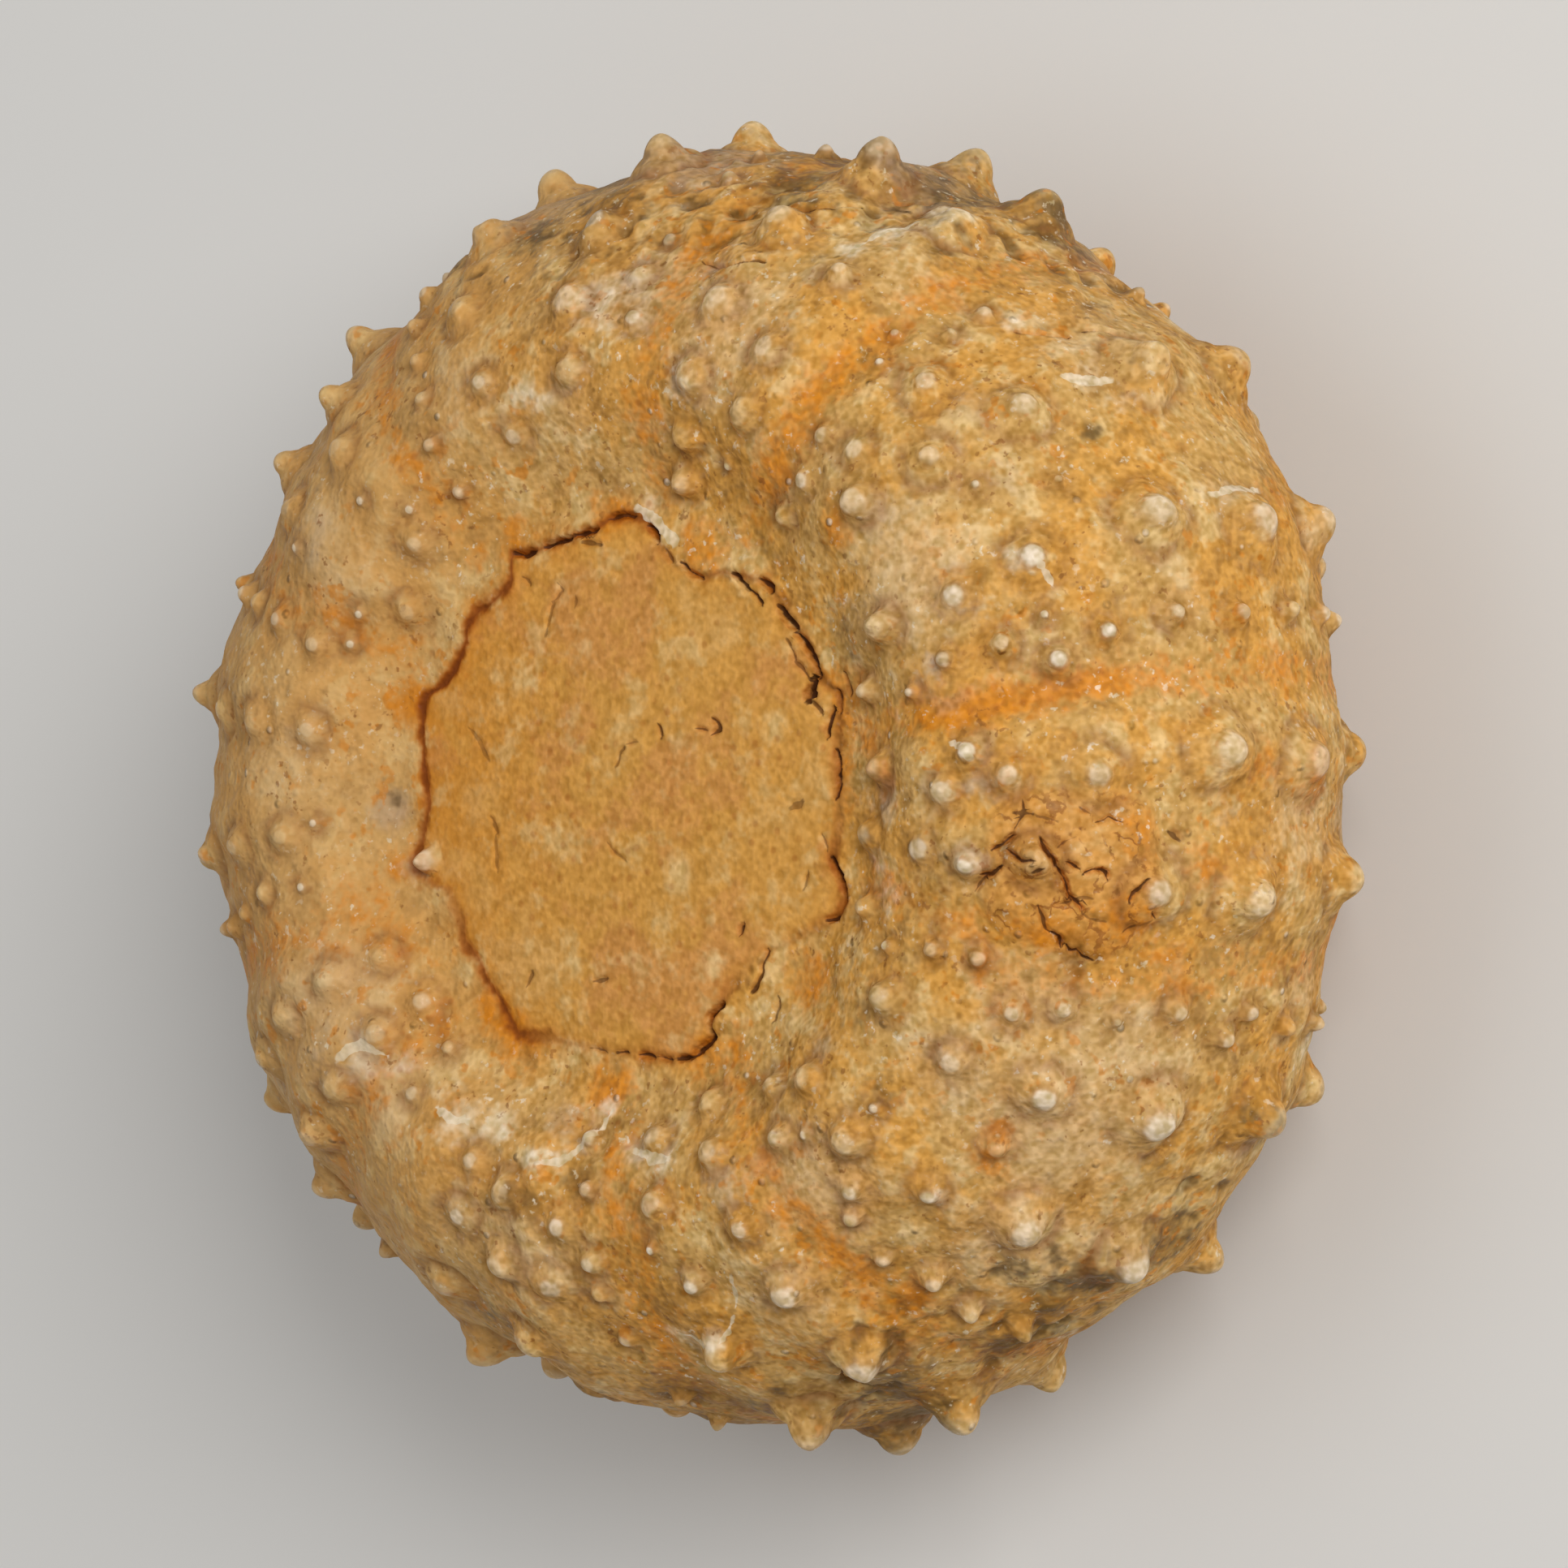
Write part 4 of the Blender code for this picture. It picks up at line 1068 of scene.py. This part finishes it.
def cut_finer(stone, wanted):
    """Cuts every face in four whose middle, given by angle and arc, is wanted."""
    mesh = stone.data
    centres = np.empty(len(mesh.polygons) * 3)
    mesh.polygons.foreach_get("center", centres)
    chosen = wanted(*on_ball(centres.reshape(-1, 3)))
    mesh.vertices.foreach_set("select", np.zeros(len(mesh.vertices), bool))
    mesh.edges.foreach_set("select", np.zeros(len(mesh.edges), bool))
    mesh.polygons.foreach_set("select", chosen)
    bpy.ops.object.mode_set(mode="EDIT")
    bpy.ops.mesh.select_mode(type="FACE")
    bpy.ops.mesh.subdivide(number_cuts=1, ngon=False)
    bpy.ops.mesh.select_all(action="SELECT")
    bpy.ops.mesh.quads_convert_to_tris()
    bpy.ops.object.mode_set(mode="OBJECT")


def near_tubercles(base, share_of_reach, share_of_knob):
    """Which points lie on a tubercle, out to this share of its reach and of its knob."""
    tubercles = all_tubercles()
    near = np.zeros(len(base), bool)
    for middle, tubercle in zip(middles(tubercles), tubercles):
        limit = share_of_reach * tubercle.reach + share_of_knob * tubercle.knob
        near |= np.linalg.norm(base - middle, axis=1) < limit
    return near


def wants_cut(angle, arc):
    """The upper side and the flank are cut once all over, and so are the tubercles below."""
    return (arc < UPPER_SIDE) | near_tubercles(bun_surface(angle, arc), 1.0, 0)


def wants_fine(angle, arc):
    """Tubercles, the crust and the cracks are cut finer."""
    base = bun_surface(angle, arc)
    cracked = (from_cracks(base)[0] < FINE_CRACK) | (np.abs(arc - seam_arc(angle)) < FINE_SEAM)
    broken = roughness(base, crust_cover(angle, arc)) > FINE_ROUGHNESS
    return near_tubercles(base, FINE_REACH, 0) | cracked | broken


def wants_finest(angle, arc):
    """Knobs on the upper side, and the cracks' own lines, are cut finest."""
    base = bun_surface(angle, arc)
    knobs = near_tubercles(base, 0, FINEST_KNOB) & (arc < LAST_FINEST_ARC)
    return knobs | (from_cracks(base)[0] < FINEST_CRACK)


def stone_object(sizes):
    """The stone: a ball, cut finer where the relief is fine, and moved to the stone's surface."""
    deselect_all()
    bpy.ops.mesh.primitive_ico_sphere_add(subdivisions=BALL_CUTS, radius=FULL_ARC / math.pi * MM)
    stone = bpy.context.object
    stone.name = stone.data.name = "urchin_stone"
    cut_finer(stone, wants_cut)
    cut_finer(stone, wants_fine)
    cut_finer(stone, wants_finest)
    mesh = stone.data
    relief = Relief(*on_ball(vertex_points(mesh)), sizes)
    mesh.vertices.foreach_set("co", relief.points().ravel())
    for name, values in relief.finishes().items():
        layer = mesh.attributes.new(name, "FLOAT", "POINT")
        layer.data.foreach_set("value", values.astype(np.float32))
    layer = mesh.attributes.new("streak_map", "FLOAT_VECTOR", "POINT")
    layer.data.foreach_set("vector", relief.streak_map().ravel().astype(np.float32))
    mesh.update()
    bpy.ops.object.shade_smooth()
    return stone


# ---- the material ----


class Recipe:
    """A material's nodes, joined by short calls."""

    def __init__(self, name):
        self.material = bpy.data.materials.new(name)
        self.material.use_nodes = True
        self.nodes = self.material.node_tree.nodes
        self.links = self.material.node_tree.links
        self.shader = self.nodes["Principled BSDF"]
        self.place = self.nodes.new("ShaderNodeTexCoord").outputs["Object"]

    def put(self, socket, value):
        """Joins a socket to another node's output, or sets it to a number or colour."""
        if isinstance(value, bpy.types.NodeSocket):
            self.links.new(value, socket)
        else:
            socket.default_value = value

    def attribute(self, name):
        """A number that the stone's mesh carries."""
        node = self.nodes.new("ShaderNodeAttribute")
        node.attribute_name = name
        return node.outputs["Fac"]

    def map(self, name):
        """A vector attribute, read as places in metres."""
        node = self.nodes.new("ShaderNodeAttribute")
        node.attribute_name = name
        return node.outputs["Vector"]

    def noise(self, size, detail, roughness, shift, places=None):
        """Noise whose largest features measure about this many millimetres."""
        node = self.nodes.new("ShaderNodeTexNoise")
        node.noise_dimensions = "4D"
        self.put(node.inputs["Vector"], places or self.place)
        node.inputs["W"].default_value = shift
        node.inputs["Scale"].default_value = 1 / (size * MM)
        node.inputs["Detail"].default_value = detail
        node.inputs["Roughness"].default_value = roughness
        return node.outputs["Fac"]

    def cells(self, size):
        """Scattered points: the distance from the nearest, in its cell's size, and its own chance."""
        node = self.nodes.new("ShaderNodeTexVoronoi")
        self.put(node.inputs["Vector"], self.place)
        node.inputs["Scale"].default_value = 1 / (size * MM)
        chance = self.nodes.new("ShaderNodeSeparateColor")
        self.put(chance.inputs["Color"], node.outputs["Color"])
        return node.outputs["Distance"], chance.outputs

    def math(self, operation, first, second=0.0, third=0.0):
        """One operation on two or three numbers."""
        node = self.nodes.new("ShaderNodeMath")
        node.operation = operation
        for socket, value in zip(node.inputs, (first, second, third)):
            self.put(socket, value)
        return node.outputs["Value"]

    def step(self, value, start, end, low=0.0, high=1.0):
        """A smooth step from low to high as the value goes from start to end."""
        node = self.nodes.new("ShaderNodeMapRange")
        node.interpolation_type = "SMOOTHSTEP"
        for name, given in (("Value", value), ("From Min", start), ("From Max", end)):
            self.put(node.inputs[name], given)
        node.inputs["To Min"].default_value = low
        node.inputs["To Max"].default_value = high
        return node.outputs["Result"]

    def times(self, first, second):
        """The product of two numbers."""
        return self.math("MULTIPLY", first, second)

    def frayed(self, value, grain, reach):
        """The value, moved up or down by the grain, over this reach from lowest to highest."""
        return self.math("ADD", value, self.math("MULTIPLY_ADD", grain, reach, -reach / 2))

    def mix(self, share, first, second, blend="MIX"):
        """The second colour laid over the first by this share."""
        node = self.nodes.new("ShaderNodeMix")
        node.data_type = "RGBA"
        node.blend_type = blend
        colours = [socket for socket in node.inputs if socket.type == "RGBA"]
        for socket, value in zip((node.inputs["Factor"], *colours), (share, first, second)):
            self.put(socket, value)
        return next(socket for socket in node.outputs if socket.type == "RGBA")

    def ragged(self, cover, grain, start, end, reach):
        """A patch's cover broken up by a grain, and none where the patch doesn't reach."""
        loose = self.step(self.frayed(cover, grain, reach), start, end)
        return self.times(loose, self.step(cover, 0.05, 0.3))

    def bump(self, height, depth, below=None):
        """Fine relief of this depth in metres, over what lies below it."""
        node = self.nodes.new("ShaderNodeBump")
        node.inputs["Distance"].default_value = depth
        self.put(node.inputs["Height"], height)
        if below is not None:
            self.put(node.inputs["Normal"], below)
        return node.outputs["Normal"]


def along_y(recipe):
    """How far towards the far side each place is, in metres."""
    axes = recipe.nodes.new("ShaderNodeSeparateXYZ")
    recipe.put(axes.inputs["Vector"], recipe.place)
    return axes.outputs["Y"]


def mottled_ground(recipe, paint, textures):
    """Tan stone with golden, greyed, cream and umber mottling, streaks down the columns, and paler raised
    relief and darker low ground and pits that are partly painted light and shade.
    """
    broad, middling, small = textures["broad"], textures["middling"], textures["small"]
    ground = recipe.mix(recipe.step(broad, 0.44, 0.56), paint["tan"], paint["ochre"])
    far_side = recipe.step(along_y(recipe), GREYED_FROM, FAR_SIDE, 0.0, 0.6)
    ground = recipe.mix(far_side, ground, paint["greyed"])
    mottling = recipe.step(along_y(recipe), 0, FAR_SIDE, 1.0, 0.5)
    pale_mottle = recipe.times(recipe.step(middling, 0.50, 0.62, 0.0, 0.55), mottling)
    ground = recipe.mix(pale_mottle, ground, paint["cream"])
    dark_mottle = recipe.times(recipe.step(middling, 0.46, 0.35, 0.0, 0.5), mottling)
    ground = recipe.mix(dark_mottle, ground, paint["umber"])
    bleached = recipe.ragged(recipe.attribute("bleached"), middling, 0.15, 0.9, 1.6)
    ground = recipe.mix(recipe.times(bleached, 0.7), ground, paint["bleached"])
    # Raised relief painted paler and low ground darker: partly wear and dirt, partly a painted highlight
    # and painted shade.
    proud = recipe.math("MULTIPLY_ADD", middling, 1.0, recipe.attribute("proud"))
    ground = recipe.mix(recipe.step(proud, 0.75, 1.4, 0.0, 0.4), ground, paint["cream"])
    ground = recipe.mix(recipe.step(proud, 0.45, 0.10, 0.0, 0.55), ground, paint["umber"])
    crust = recipe.math("MULTIPLY_ADD", middling, 0.8, recipe.attribute("crust"))
    ground = recipe.mix(recipe.step(crust, 0.5, 1.2, 0.0, 0.8), ground, paint["crust"])
    # Grime and painted shade in the sunk pits of broken ground.
    hollow = recipe.math("MULTIPLY_ADD", small, 0.9, recipe.attribute("hollow"))
    ground = recipe.mix(recipe.step(hollow, 0.45, 0.9, 0.0, 0.75), ground, paint["grime"])

    streaks = recipe.noise(*STREAKS, recipe.map("streak_map"))
    streaky = recipe.step(recipe.attribute("rough"), 0.15, 0.8, 0.0, 0.55)
    dark_streak = recipe.times(recipe.step(streaks, 0.52, 0.62), streaky)
    ground = recipe.mix(dark_streak, ground, paint["umber"])
    pale_streak = recipe.times(recipe.step(streaks, 0.47, 0.38), streaky)
    return recipe.mix(pale_streak, ground, paint["cream"])


def line_cover(recipe, name, small, fray):
    """How much of each place the named lines cover, crisp but frayed by a grain."""
    across = recipe.math("ABSOLUTE", recipe.attribute(name + "_across"))
    edge = recipe.math("SUBTRACT", across, recipe.attribute(name + "_width"))
    edge = recipe.frayed(edge, small, fray)
    near = recipe.step(recipe.attribute(name + "_away"), 0.14, 0.06)
    return recipe.times(recipe.step(edge, 0.02, -0.015), near)


def crackle(recipe, textures):
    """Fine broken cracks all over the crust."""
    apart = recipe.nodes.new("ShaderNodeVectorMath")
    apart.operation = "MULTIPLY_ADD"
    shaken = recipe.nodes.new("ShaderNodeTexNoise")
    recipe.put(shaken.inputs["Vector"], recipe.place)
    shaken.inputs["Scale"].default_value = 1 / (CRACKLE_SHAKE_SIZE * MM)
    shaken.inputs["Detail"].default_value = 4.0
    recipe.put(apart.inputs[0], shaken.outputs["Color"])
    apart.inputs[1].default_value = (CRACKLE_SHAKE * MM,) * 3
    recipe.put(apart.inputs[2], recipe.place)
    edges = recipe.nodes.new("ShaderNodeTexVoronoi")
    edges.feature = "DISTANCE_TO_EDGE"
    recipe.put(edges.inputs["Vector"], apart.outputs["Vector"])
    edges.inputs["Scale"].default_value = 1 / (CRACKLE_SIZE * MM)
    lines = recipe.step(edges.outputs["Distance"], 0.07, 0.025)
    kept = recipe.step(textures["middling"], 0.54, 0.47)
    crust = recipe.step(recipe.attribute("crust"), 0.3, 0.9)
    return recipe.times(recipe.times(lines, kept), crust)


def granules(recipe):
    """Tiny round granules strewn between the tubercles: their dome, and how pale each is, the pale tips
    partly a painted highlight.
    """
    distance, chance = recipe.cells(GRANULE_PITCH)
    wanted = recipe.step(chance["Red"], 0.35, 0.45)
    wanted = recipe.times(wanted, recipe.step(recipe.attribute("from_mouth"), 0.3, 1.2))
    dome = recipe.times(recipe.step(distance, GRANULE_SHARE, 0.02), wanted)
    return dome, recipe.step(chance["Green"], 0.35, 1.0)


def pore_dots(recipe):
    """The two rows of pores along each pore zone, as round rust-brown dots, partly the pores' stain and
    partly painted shade in their holes.
    """
    across = recipe.math("SUBTRACT", recipe.attribute("from_pores"), PORE_ASIDE)
    turns = recipe.math("DIVIDE", recipe.attribute("arc"), PORE_PITCH)
    along = recipe.math("SUBTRACT", recipe.math("FRACT", turns), 0.5)
    along = recipe.times(along, PORE_PITCH)
    squared = recipe.math("MULTIPLY_ADD", across, across, recipe.times(along, along))
    worn_off = recipe.step(recipe.noise(*PORE_WEAR), 0.45, 0.55)
    dots = recipe.step(recipe.math("SQRT", squared), PORE_RADIUS, 0.3 * PORE_RADIUS)
    return recipe.times(dots, worn_off)


def mouth_fill(recipe, paint, textures):
    """The finer, more even sediment that closes the mouth."""
    broad, middling, small = textures["broad"], textures["middling"], textures["small"]
    far_side = recipe.step(along_y(recipe), 0, FILL_FAR_SIDE, 0.0, 0.5)
    fill = recipe.mix(far_side, paint["fill"], paint["stain"])
    fill = recipe.mix(recipe.step(broad, 0.48, 0.60, 0.0, 0.5), fill, paint["blush"])
    fill = recipe.mix(recipe.step(broad, 0.48, 0.36, 0.0, 0.2), fill, paint["cream"])
    bleached = recipe.ragged(recipe.attribute("bleached"), middling, 0.1, 0.8, 1.6)
    fill = recipe.mix(recipe.times(bleached, 0.55), fill, paint["cream"])
    fill = recipe.mix(recipe.step(middling, 0.52, 0.66, 0.0, 0.35), fill, paint["cream"])
    fill = recipe.mix(recipe.step(middling, 0.48, 0.37, 0.0, 0.5), fill, paint["ochre"])
    return recipe.mix(recipe.step(small, 0.60, 0.68, 0.0, 0.2), fill, paint["umber"])


def patched(recipe, paint, textures, ground):
    """The ground with its iron stain, grey calcite, grime that also paints shade, and chalk."""
    middling, small = textures["middling"], textures["small"]
    from_mouth = recipe.attribute("from_mouth")
    near_pores = recipe.step(recipe.attribute("from_pores"), 1.3, 0.1, 0.0, 0.42)
    near_pores = recipe.times(near_pores, recipe.step(from_mouth, 0.2, 1.5))
    stain = recipe.math("MAXIMUM", recipe.attribute("stain"), near_pores)
    uneven = recipe.math("MULTIPLY_ADD", small, 0.4, recipe.times(middling, 0.6))
    for finish, cover, grain, start, end, reach, share in (
        ("stain", stain, uneven, 0.12, 0.85, 3.0, 0.85),
        ("grey", recipe.attribute("grey"), middling, 0.2, 0.9, 1.6, 0.6),
        ("grime", recipe.attribute("grime"), uneven, 0.15, 0.9, 3.0, 0.8),
        ("chalk", recipe.attribute("chalk"), middling, 0.25, 1.1, 2.4, 0.75),
    ):
        ragged = recipe.ragged(cover, grain, start, end, reach)
        ground = recipe.mix(recipe.times(ragged, share), ground, paint[finish])
    return ground


def flecked(recipe, paint, ground):
    """The ground with small dark, rusty and white flecks strewn over it in loose clusters."""
    from_mouth = recipe.attribute("from_mouth")
    for size, shift, start, end, least, most, finish in FLECKS:
        clusters = recipe.step(recipe.noise(*FLECK_CLUSTERS, shift + 10), 0.42, 0.60, least, most)
        clusters = recipe.times(clusters, recipe.step(from_mouth, -0.2, 0.3, 0.08, 1.0))
        fleck = recipe.step(recipe.noise(size, 2.0, 0.65, shift), start, end)
        ground = recipe.mix(recipe.times(fleck, clusters), ground, paint[finish])
    return ground


def cracked(recipe, paint, textures, ground):
    """The ground with the rusty seam, the scratches, and the dark cracks with brown edges, made darker
    where deeper as painted shade.
    """
    middling, small = textures["middling"], textures["small"]
    from_seam = recipe.math("ABSOLUTE", recipe.attribute("from_mouth"))
    wide_seam = recipe.frayed(from_seam, middling, 2.4)
    from_seam = recipe.frayed(from_seam, middling, 0.8)
    rust = recipe.attribute("rust")
    seam = recipe.times(recipe.step(wide_seam, 0.7, 0.0, 0.0, 0.45), rust)
    ground = recipe.mix(seam, ground, paint["stain"])
    seam = recipe.times(recipe.step(from_seam, 0.32, 0.06), rust)
    ground = recipe.mix(seam, ground, paint["rust"])
    core = recipe.times(recipe.step(from_seam, 0.16, 0.0), recipe.math("POWER", rust, 2.0))
    ground = recipe.mix(recipe.times(core, 0.8), ground, paint["deep_rust"])
    scratches = recipe.times(line_cover(recipe, "scratch", small, 0.4), 0.7)
    ground = recipe.mix(scratches, ground, paint["chalk"])
    lines = recipe.times(crackle(recipe, textures), 0.55)
    ground = recipe.mix(lines, ground, paint["deep_rust"])
    depth = recipe.attribute("crack_depth")
    halo = recipe.math("MULTIPLY_ADD", middling, 0.5, recipe.attribute("crack_away"))
    halo = recipe.times(recipe.step(halo, 0.36, 0.22), recipe.step(depth, 0.0, 0.3, 0.1, 0.75))
    ground = recipe.mix(halo, ground, paint["rust"])
    # The crack lines are darker where a crack is deeper: painted shade in the crack along with its dark
    # colour.
    dark = recipe.times(line_cover(recipe, "crack", small, 0.12), recipe.step(depth, 0.0, 0.2, 0.3, 0.85))
    return recipe.mix(dark, ground, paint["crack"])


def knobbed(recipe, paint, textures, ground):
    """The ground with painted shade in its rings, and pale knobs that are partly worn white calcite and
    partly a painted highlight, and how much each place is a knob.
    """
    middling, small = textures["middling"], textures["small"]
    # Painted shade: the hollow ring round each tubercle is coloured brown.
    ringed = recipe.times(recipe.attribute("ring"), recipe.step(middling, 0.38, 0.58, 0.1, 0.7))
    ringed = recipe.times(ringed, recipe.step(recipe.attribute("from_mouth"), 0.2, 1.0))
    ground = recipe.mix(ringed, ground, paint["ring"])
    pale = recipe.attribute("pale")
    frayed_knob = recipe.math("MULTIPLY_ADD", small, 0.5, recipe.attribute("knob"))
    halo = recipe.times(recipe.step(frayed_knob, 0.30, 0.80), pale)
    ground = recipe.mix(recipe.times(halo, 0.45), ground, paint["grey"])
    # The pale knob colour is partly worn white calcite and partly a painted highlight.
    knob = recipe.step(frayed_knob, 0.65, 1.00)
    ground = recipe.mix(recipe.times(knob, 0.2), ground, paint["cream"])
    return recipe.mix(recipe.times(knob, pale), ground, paint["knob"]), knob


def gritty(recipe, textures, inside, ground):
    """The ground speckled by its grain, which fades in the fill and towards the far side."""
    speckle = recipe.step(textures["small"], 0.30, 0.70, 0.0, 0.5)
    grit = recipe.math("ADD", speckle, recipe.step(textures["grain"], 0.25, 0.75, 0.0, 0.5))
    even = recipe.math("MAXIMUM", recipe.times(inside, 0.4), recipe.step(along_y(recipe), 0, GRIT_FADE))
    kept = recipe.step(even, 0, 1, 1.0, 0.3)
    grit = recipe.math("MULTIPLY_ADD", recipe.math("SUBTRACT", grit, 0.5), kept, 0.5)
    return recipe.mix(1.0, ground, recipe.mix(grit, GRIT_DARK, GRIT_PALE), "MULTIPLY")


def stone_material(colours, sizes):
    """Weathered limestone: mottled tan, with stains, chalk, grime, rings, pale knobs and cracks, with
    painted shade in the rings, pits, cracks and low ground and a partly painted highlight on the knobs.
    """
    recipe = Recipe("weathered_stone")
    paint = {name: tuple(getattr(colours, name)) for name in setting_names(colours)}
    textures = {name: recipe.noise(*numbers) for name, numbers in TEXTURES.items()}
    middling, small, grain = textures["middling"], textures["small"], textures["grain"]
    from_mouth = recipe.attribute("from_mouth")
    inside = recipe.step(recipe.math("MULTIPLY_ADD", middling, 0.8, from_mouth), 0.65, 0.15)

    base = mottled_ground(recipe, paint, textures)
    base = recipe.mix(inside, base, mouth_fill(recipe, paint, textures))
    base = patched(recipe, paint, textures, base)
    base = flecked(recipe, paint, base)
    # Pores as darker rust dots: partly stain, partly painted shade in the holes.
    base = recipe.mix(recipe.times(pore_dots(recipe), 0.35), base, paint["rust"])
    base, knob = knobbed(recipe, paint, textures, base)
    dome, paleness = granules(recipe)
    # Pale granule tips, partly a painted highlight.
    pale_granule = recipe.times(recipe.step(dome, 0.15, 0.6), paleness)
    base = recipe.mix(recipe.times(pale_granule, 0.65), base, paint["knob"])
    base = cracked(recipe, paint, textures, base)
    base = gritty(recipe, textures, inside, base)

    shader = recipe.shader
    recipe.put(shader.inputs["Base Color"], base)
    dullness = recipe.step(small, 0.35, 0.65, 0.72, 0.5)
    shine = recipe.math("MAXIMUM", knob, pale_granule)
    recipe.put(shader.inputs["Roughness"], recipe.math("MULTIPLY_ADD", shine, -0.24, dullness))
    shader.inputs["Specular IOR Level"].default_value = 0.15
    coarse = recipe.times(middling, recipe.step(inside, 0, 1, 1.0, 0.4))
    relief = None
    for height, depth in (
        (coarse, COARSE_BUMP),
        (small, SMALL_BUMP),
        (dome, GRANULE_BUMP),
        (grain, GRAIN_BUMP),
    ):
        relief = recipe.bump(height, depth * sizes.grain_height, relief)
    recipe.put(shader.inputs["Normal"], relief)
    return recipe.material


def floor_material(floor):
    """Plain matt paper."""
    recipe = Recipe("plain_floor")
    recipe.put(recipe.shader.inputs["Base Color"], tuple(floor))
    recipe.shader.inputs["Roughness"].default_value = 0.9
    recipe.shader.inputs["Specular IOR Level"].default_value = 0.2
    return recipe.material


# ---- the stage ----


def camera_axes(stage):
    """The camera's right, up and backward directions."""
    turned = stage.azimuth - QUARTER_TURN
    level = math.cos(stage.elevation)
    back = Vector((math.cos(turned) * level, math.sin(turned) * level, math.sin(stage.elevation)))
    right = Vector((0, 0, 1)).cross(back).normalized()
    up = back.cross(right)
    cos, sin = math.cos(stage.roll), math.sin(stage.roll)
    return right * cos - up * sin, right * sin + up * cos, back


def girdle_middle():
    """The middle of the stone's widest girdle."""
    return Vector((0, 0, BASE_LEVEL + (BELLY_DEPTH - WORN_DEPTH) * MM))


def add_camera(stage):
    """The camera, which looks at the girdle's middle from a little to the left."""
    right, up, back = camera_axes(stage)
    bpy.ops.object.camera_add()
    camera = bpy.context.object
    camera.name = "camera"
    camera.data.sensor_width = SENSOR_WIDTH
    camera.data.lens = SENSOR_WIDTH * stage.distance / stage.view_width
    camera.data.clip_start = CLIP_START
    camera.data.clip_end = CLIP_END
    place = girdle_middle() + back * stage.distance - right * VIEW_ASIDE
    turned = Matrix((right, up, back)).transposed().to_4x4()
    camera.matrix_world = Matrix.Translation(place) @ turned
    bpy.context.scene.camera = camera


def add_light(name, axes, stand, distance, size, power):
    """A soft square light that shines on the stone from where it stands along the view's axes."""
    right, up, back = axes
    direction = (stand[0] * right + stand[1] * up + stand[2] * back).normalized()
    bpy.ops.object.light_add(type="AREA")
    light = bpy.context.object
    light.name = name
    light.data.size = size
    light.data.energy = power
    light.location = girdle_middle() + direction * distance
    light.rotation_euler = direction.to_track_quat("Z", "Y").to_euler()


def add_sky(brightness):
    """Even white light from all round."""
    world = bpy.data.worlds.new("soft_sky")
    world.use_nodes = True
    background = world.node_tree.nodes["Background"]
    background.inputs["Color"].default_value = (1, 1, 1, 1)
    background.inputs["Strength"].default_value = brightness
    bpy.context.scene.world = world


class FOSSIL_OT_stone(bpy.types.Operator):
    """Make the weathered stone in full relief"""

    bl_idname = "fossil.stone"
    bl_label = "Fossil Stone"
    bl_options = {"REGISTER", "UNDO"}

    def execute(self, context):
        sizes = context.scene.fossil_sizes
        stone = stone_object(sizes)
        stone.data.materials.append(stone_material(context.scene.fossil_colours, sizes))
        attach(stone, "root")
        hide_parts(NODE)
        return {"FINISHED"}


class FOSSIL_OT_stage(bpy.types.Operator):
    """Make the plain floor, the soft lights and the camera"""

    bl_idname = "fossil.stage"
    bl_label = "Stage"
    bl_options = {"REGISTER", "UNDO"}

    def execute(self, context):
        stage = context.scene.fossil_stage
        deselect_all()
        bpy.ops.mesh.primitive_plane_add(size=stage.floor_size, location=(0, 0, BASE_LEVEL))
        floor = bpy.context.object
        floor.name = "floor"
        floor.data.materials.append(floor_material(stage.floor))
        axes = camera_axes(stage)
        add_light("main_light", axes, *MAIN_LIGHT, stage.key_power)
        add_light("second_light", axes, *SECOND_LIGHT, stage.fill_power)
        add_sky(stage.sky)
        add_camera(stage)
        context.scene.view_settings.view_transform = "Standard"
        return {"FINISHED"}


class FOSSIL_PT_panel(bpy.types.Panel):
    """Lists what the add-on makes"""

    bl_idname = "FOSSIL_PT_panel"
    bl_label = "Fossil Sea Urchin"
    bl_space_type = "VIEW_3D"
    bl_region_type = "UI"
    bl_category = "Fossil"

    def draw(self, context):
        scene = context.scene
        for group, operator in (
            ((scene.fossil_sizes, scene.fossil_colours), FOSSIL_OT_stone),
            ((scene.fossil_stage,), FOSSIL_OT_stage),
        ):
            box = self.layout.box()
            for settings in group:
                for name in setting_names(settings):
                    box.prop(settings, name)
            box.operator(operator.bl_idname)


CLASSES = (
    FossilStoneColours,
    FossilStoneSizes,
    FossilStageSettings,
    FOSSIL_OT_stone,
    FOSSIL_OT_stage,
    FOSSIL_PT_panel,
)


def register():
    """Adds the classes, and their settings to the scene."""
    for cls in CLASSES:
        bpy.utils.register_class(cls)
    bpy.types.Scene.fossil_colours = PointerProperty(type=FossilStoneColours)
    bpy.types.Scene.fossil_sizes = PointerProperty(type=FossilStoneSizes)
    bpy.types.Scene.fossil_stage = PointerProperty(type=FossilStageSettings)


def unregister():
    """Takes away what register added."""
    del bpy.types.Scene.fossil_stage
    del bpy.types.Scene.fossil_sizes
    del bpy.types.Scene.fossil_colours
    for cls in reversed(CLASSES):
        bpy.utils.unregister_class(cls)


def main():
    """Makes the stone and its stage."""
    register()
    bpy.ops.fossil.stone()
    bpy.ops.fossil.stage()


if __name__ == "__main__":
    main()
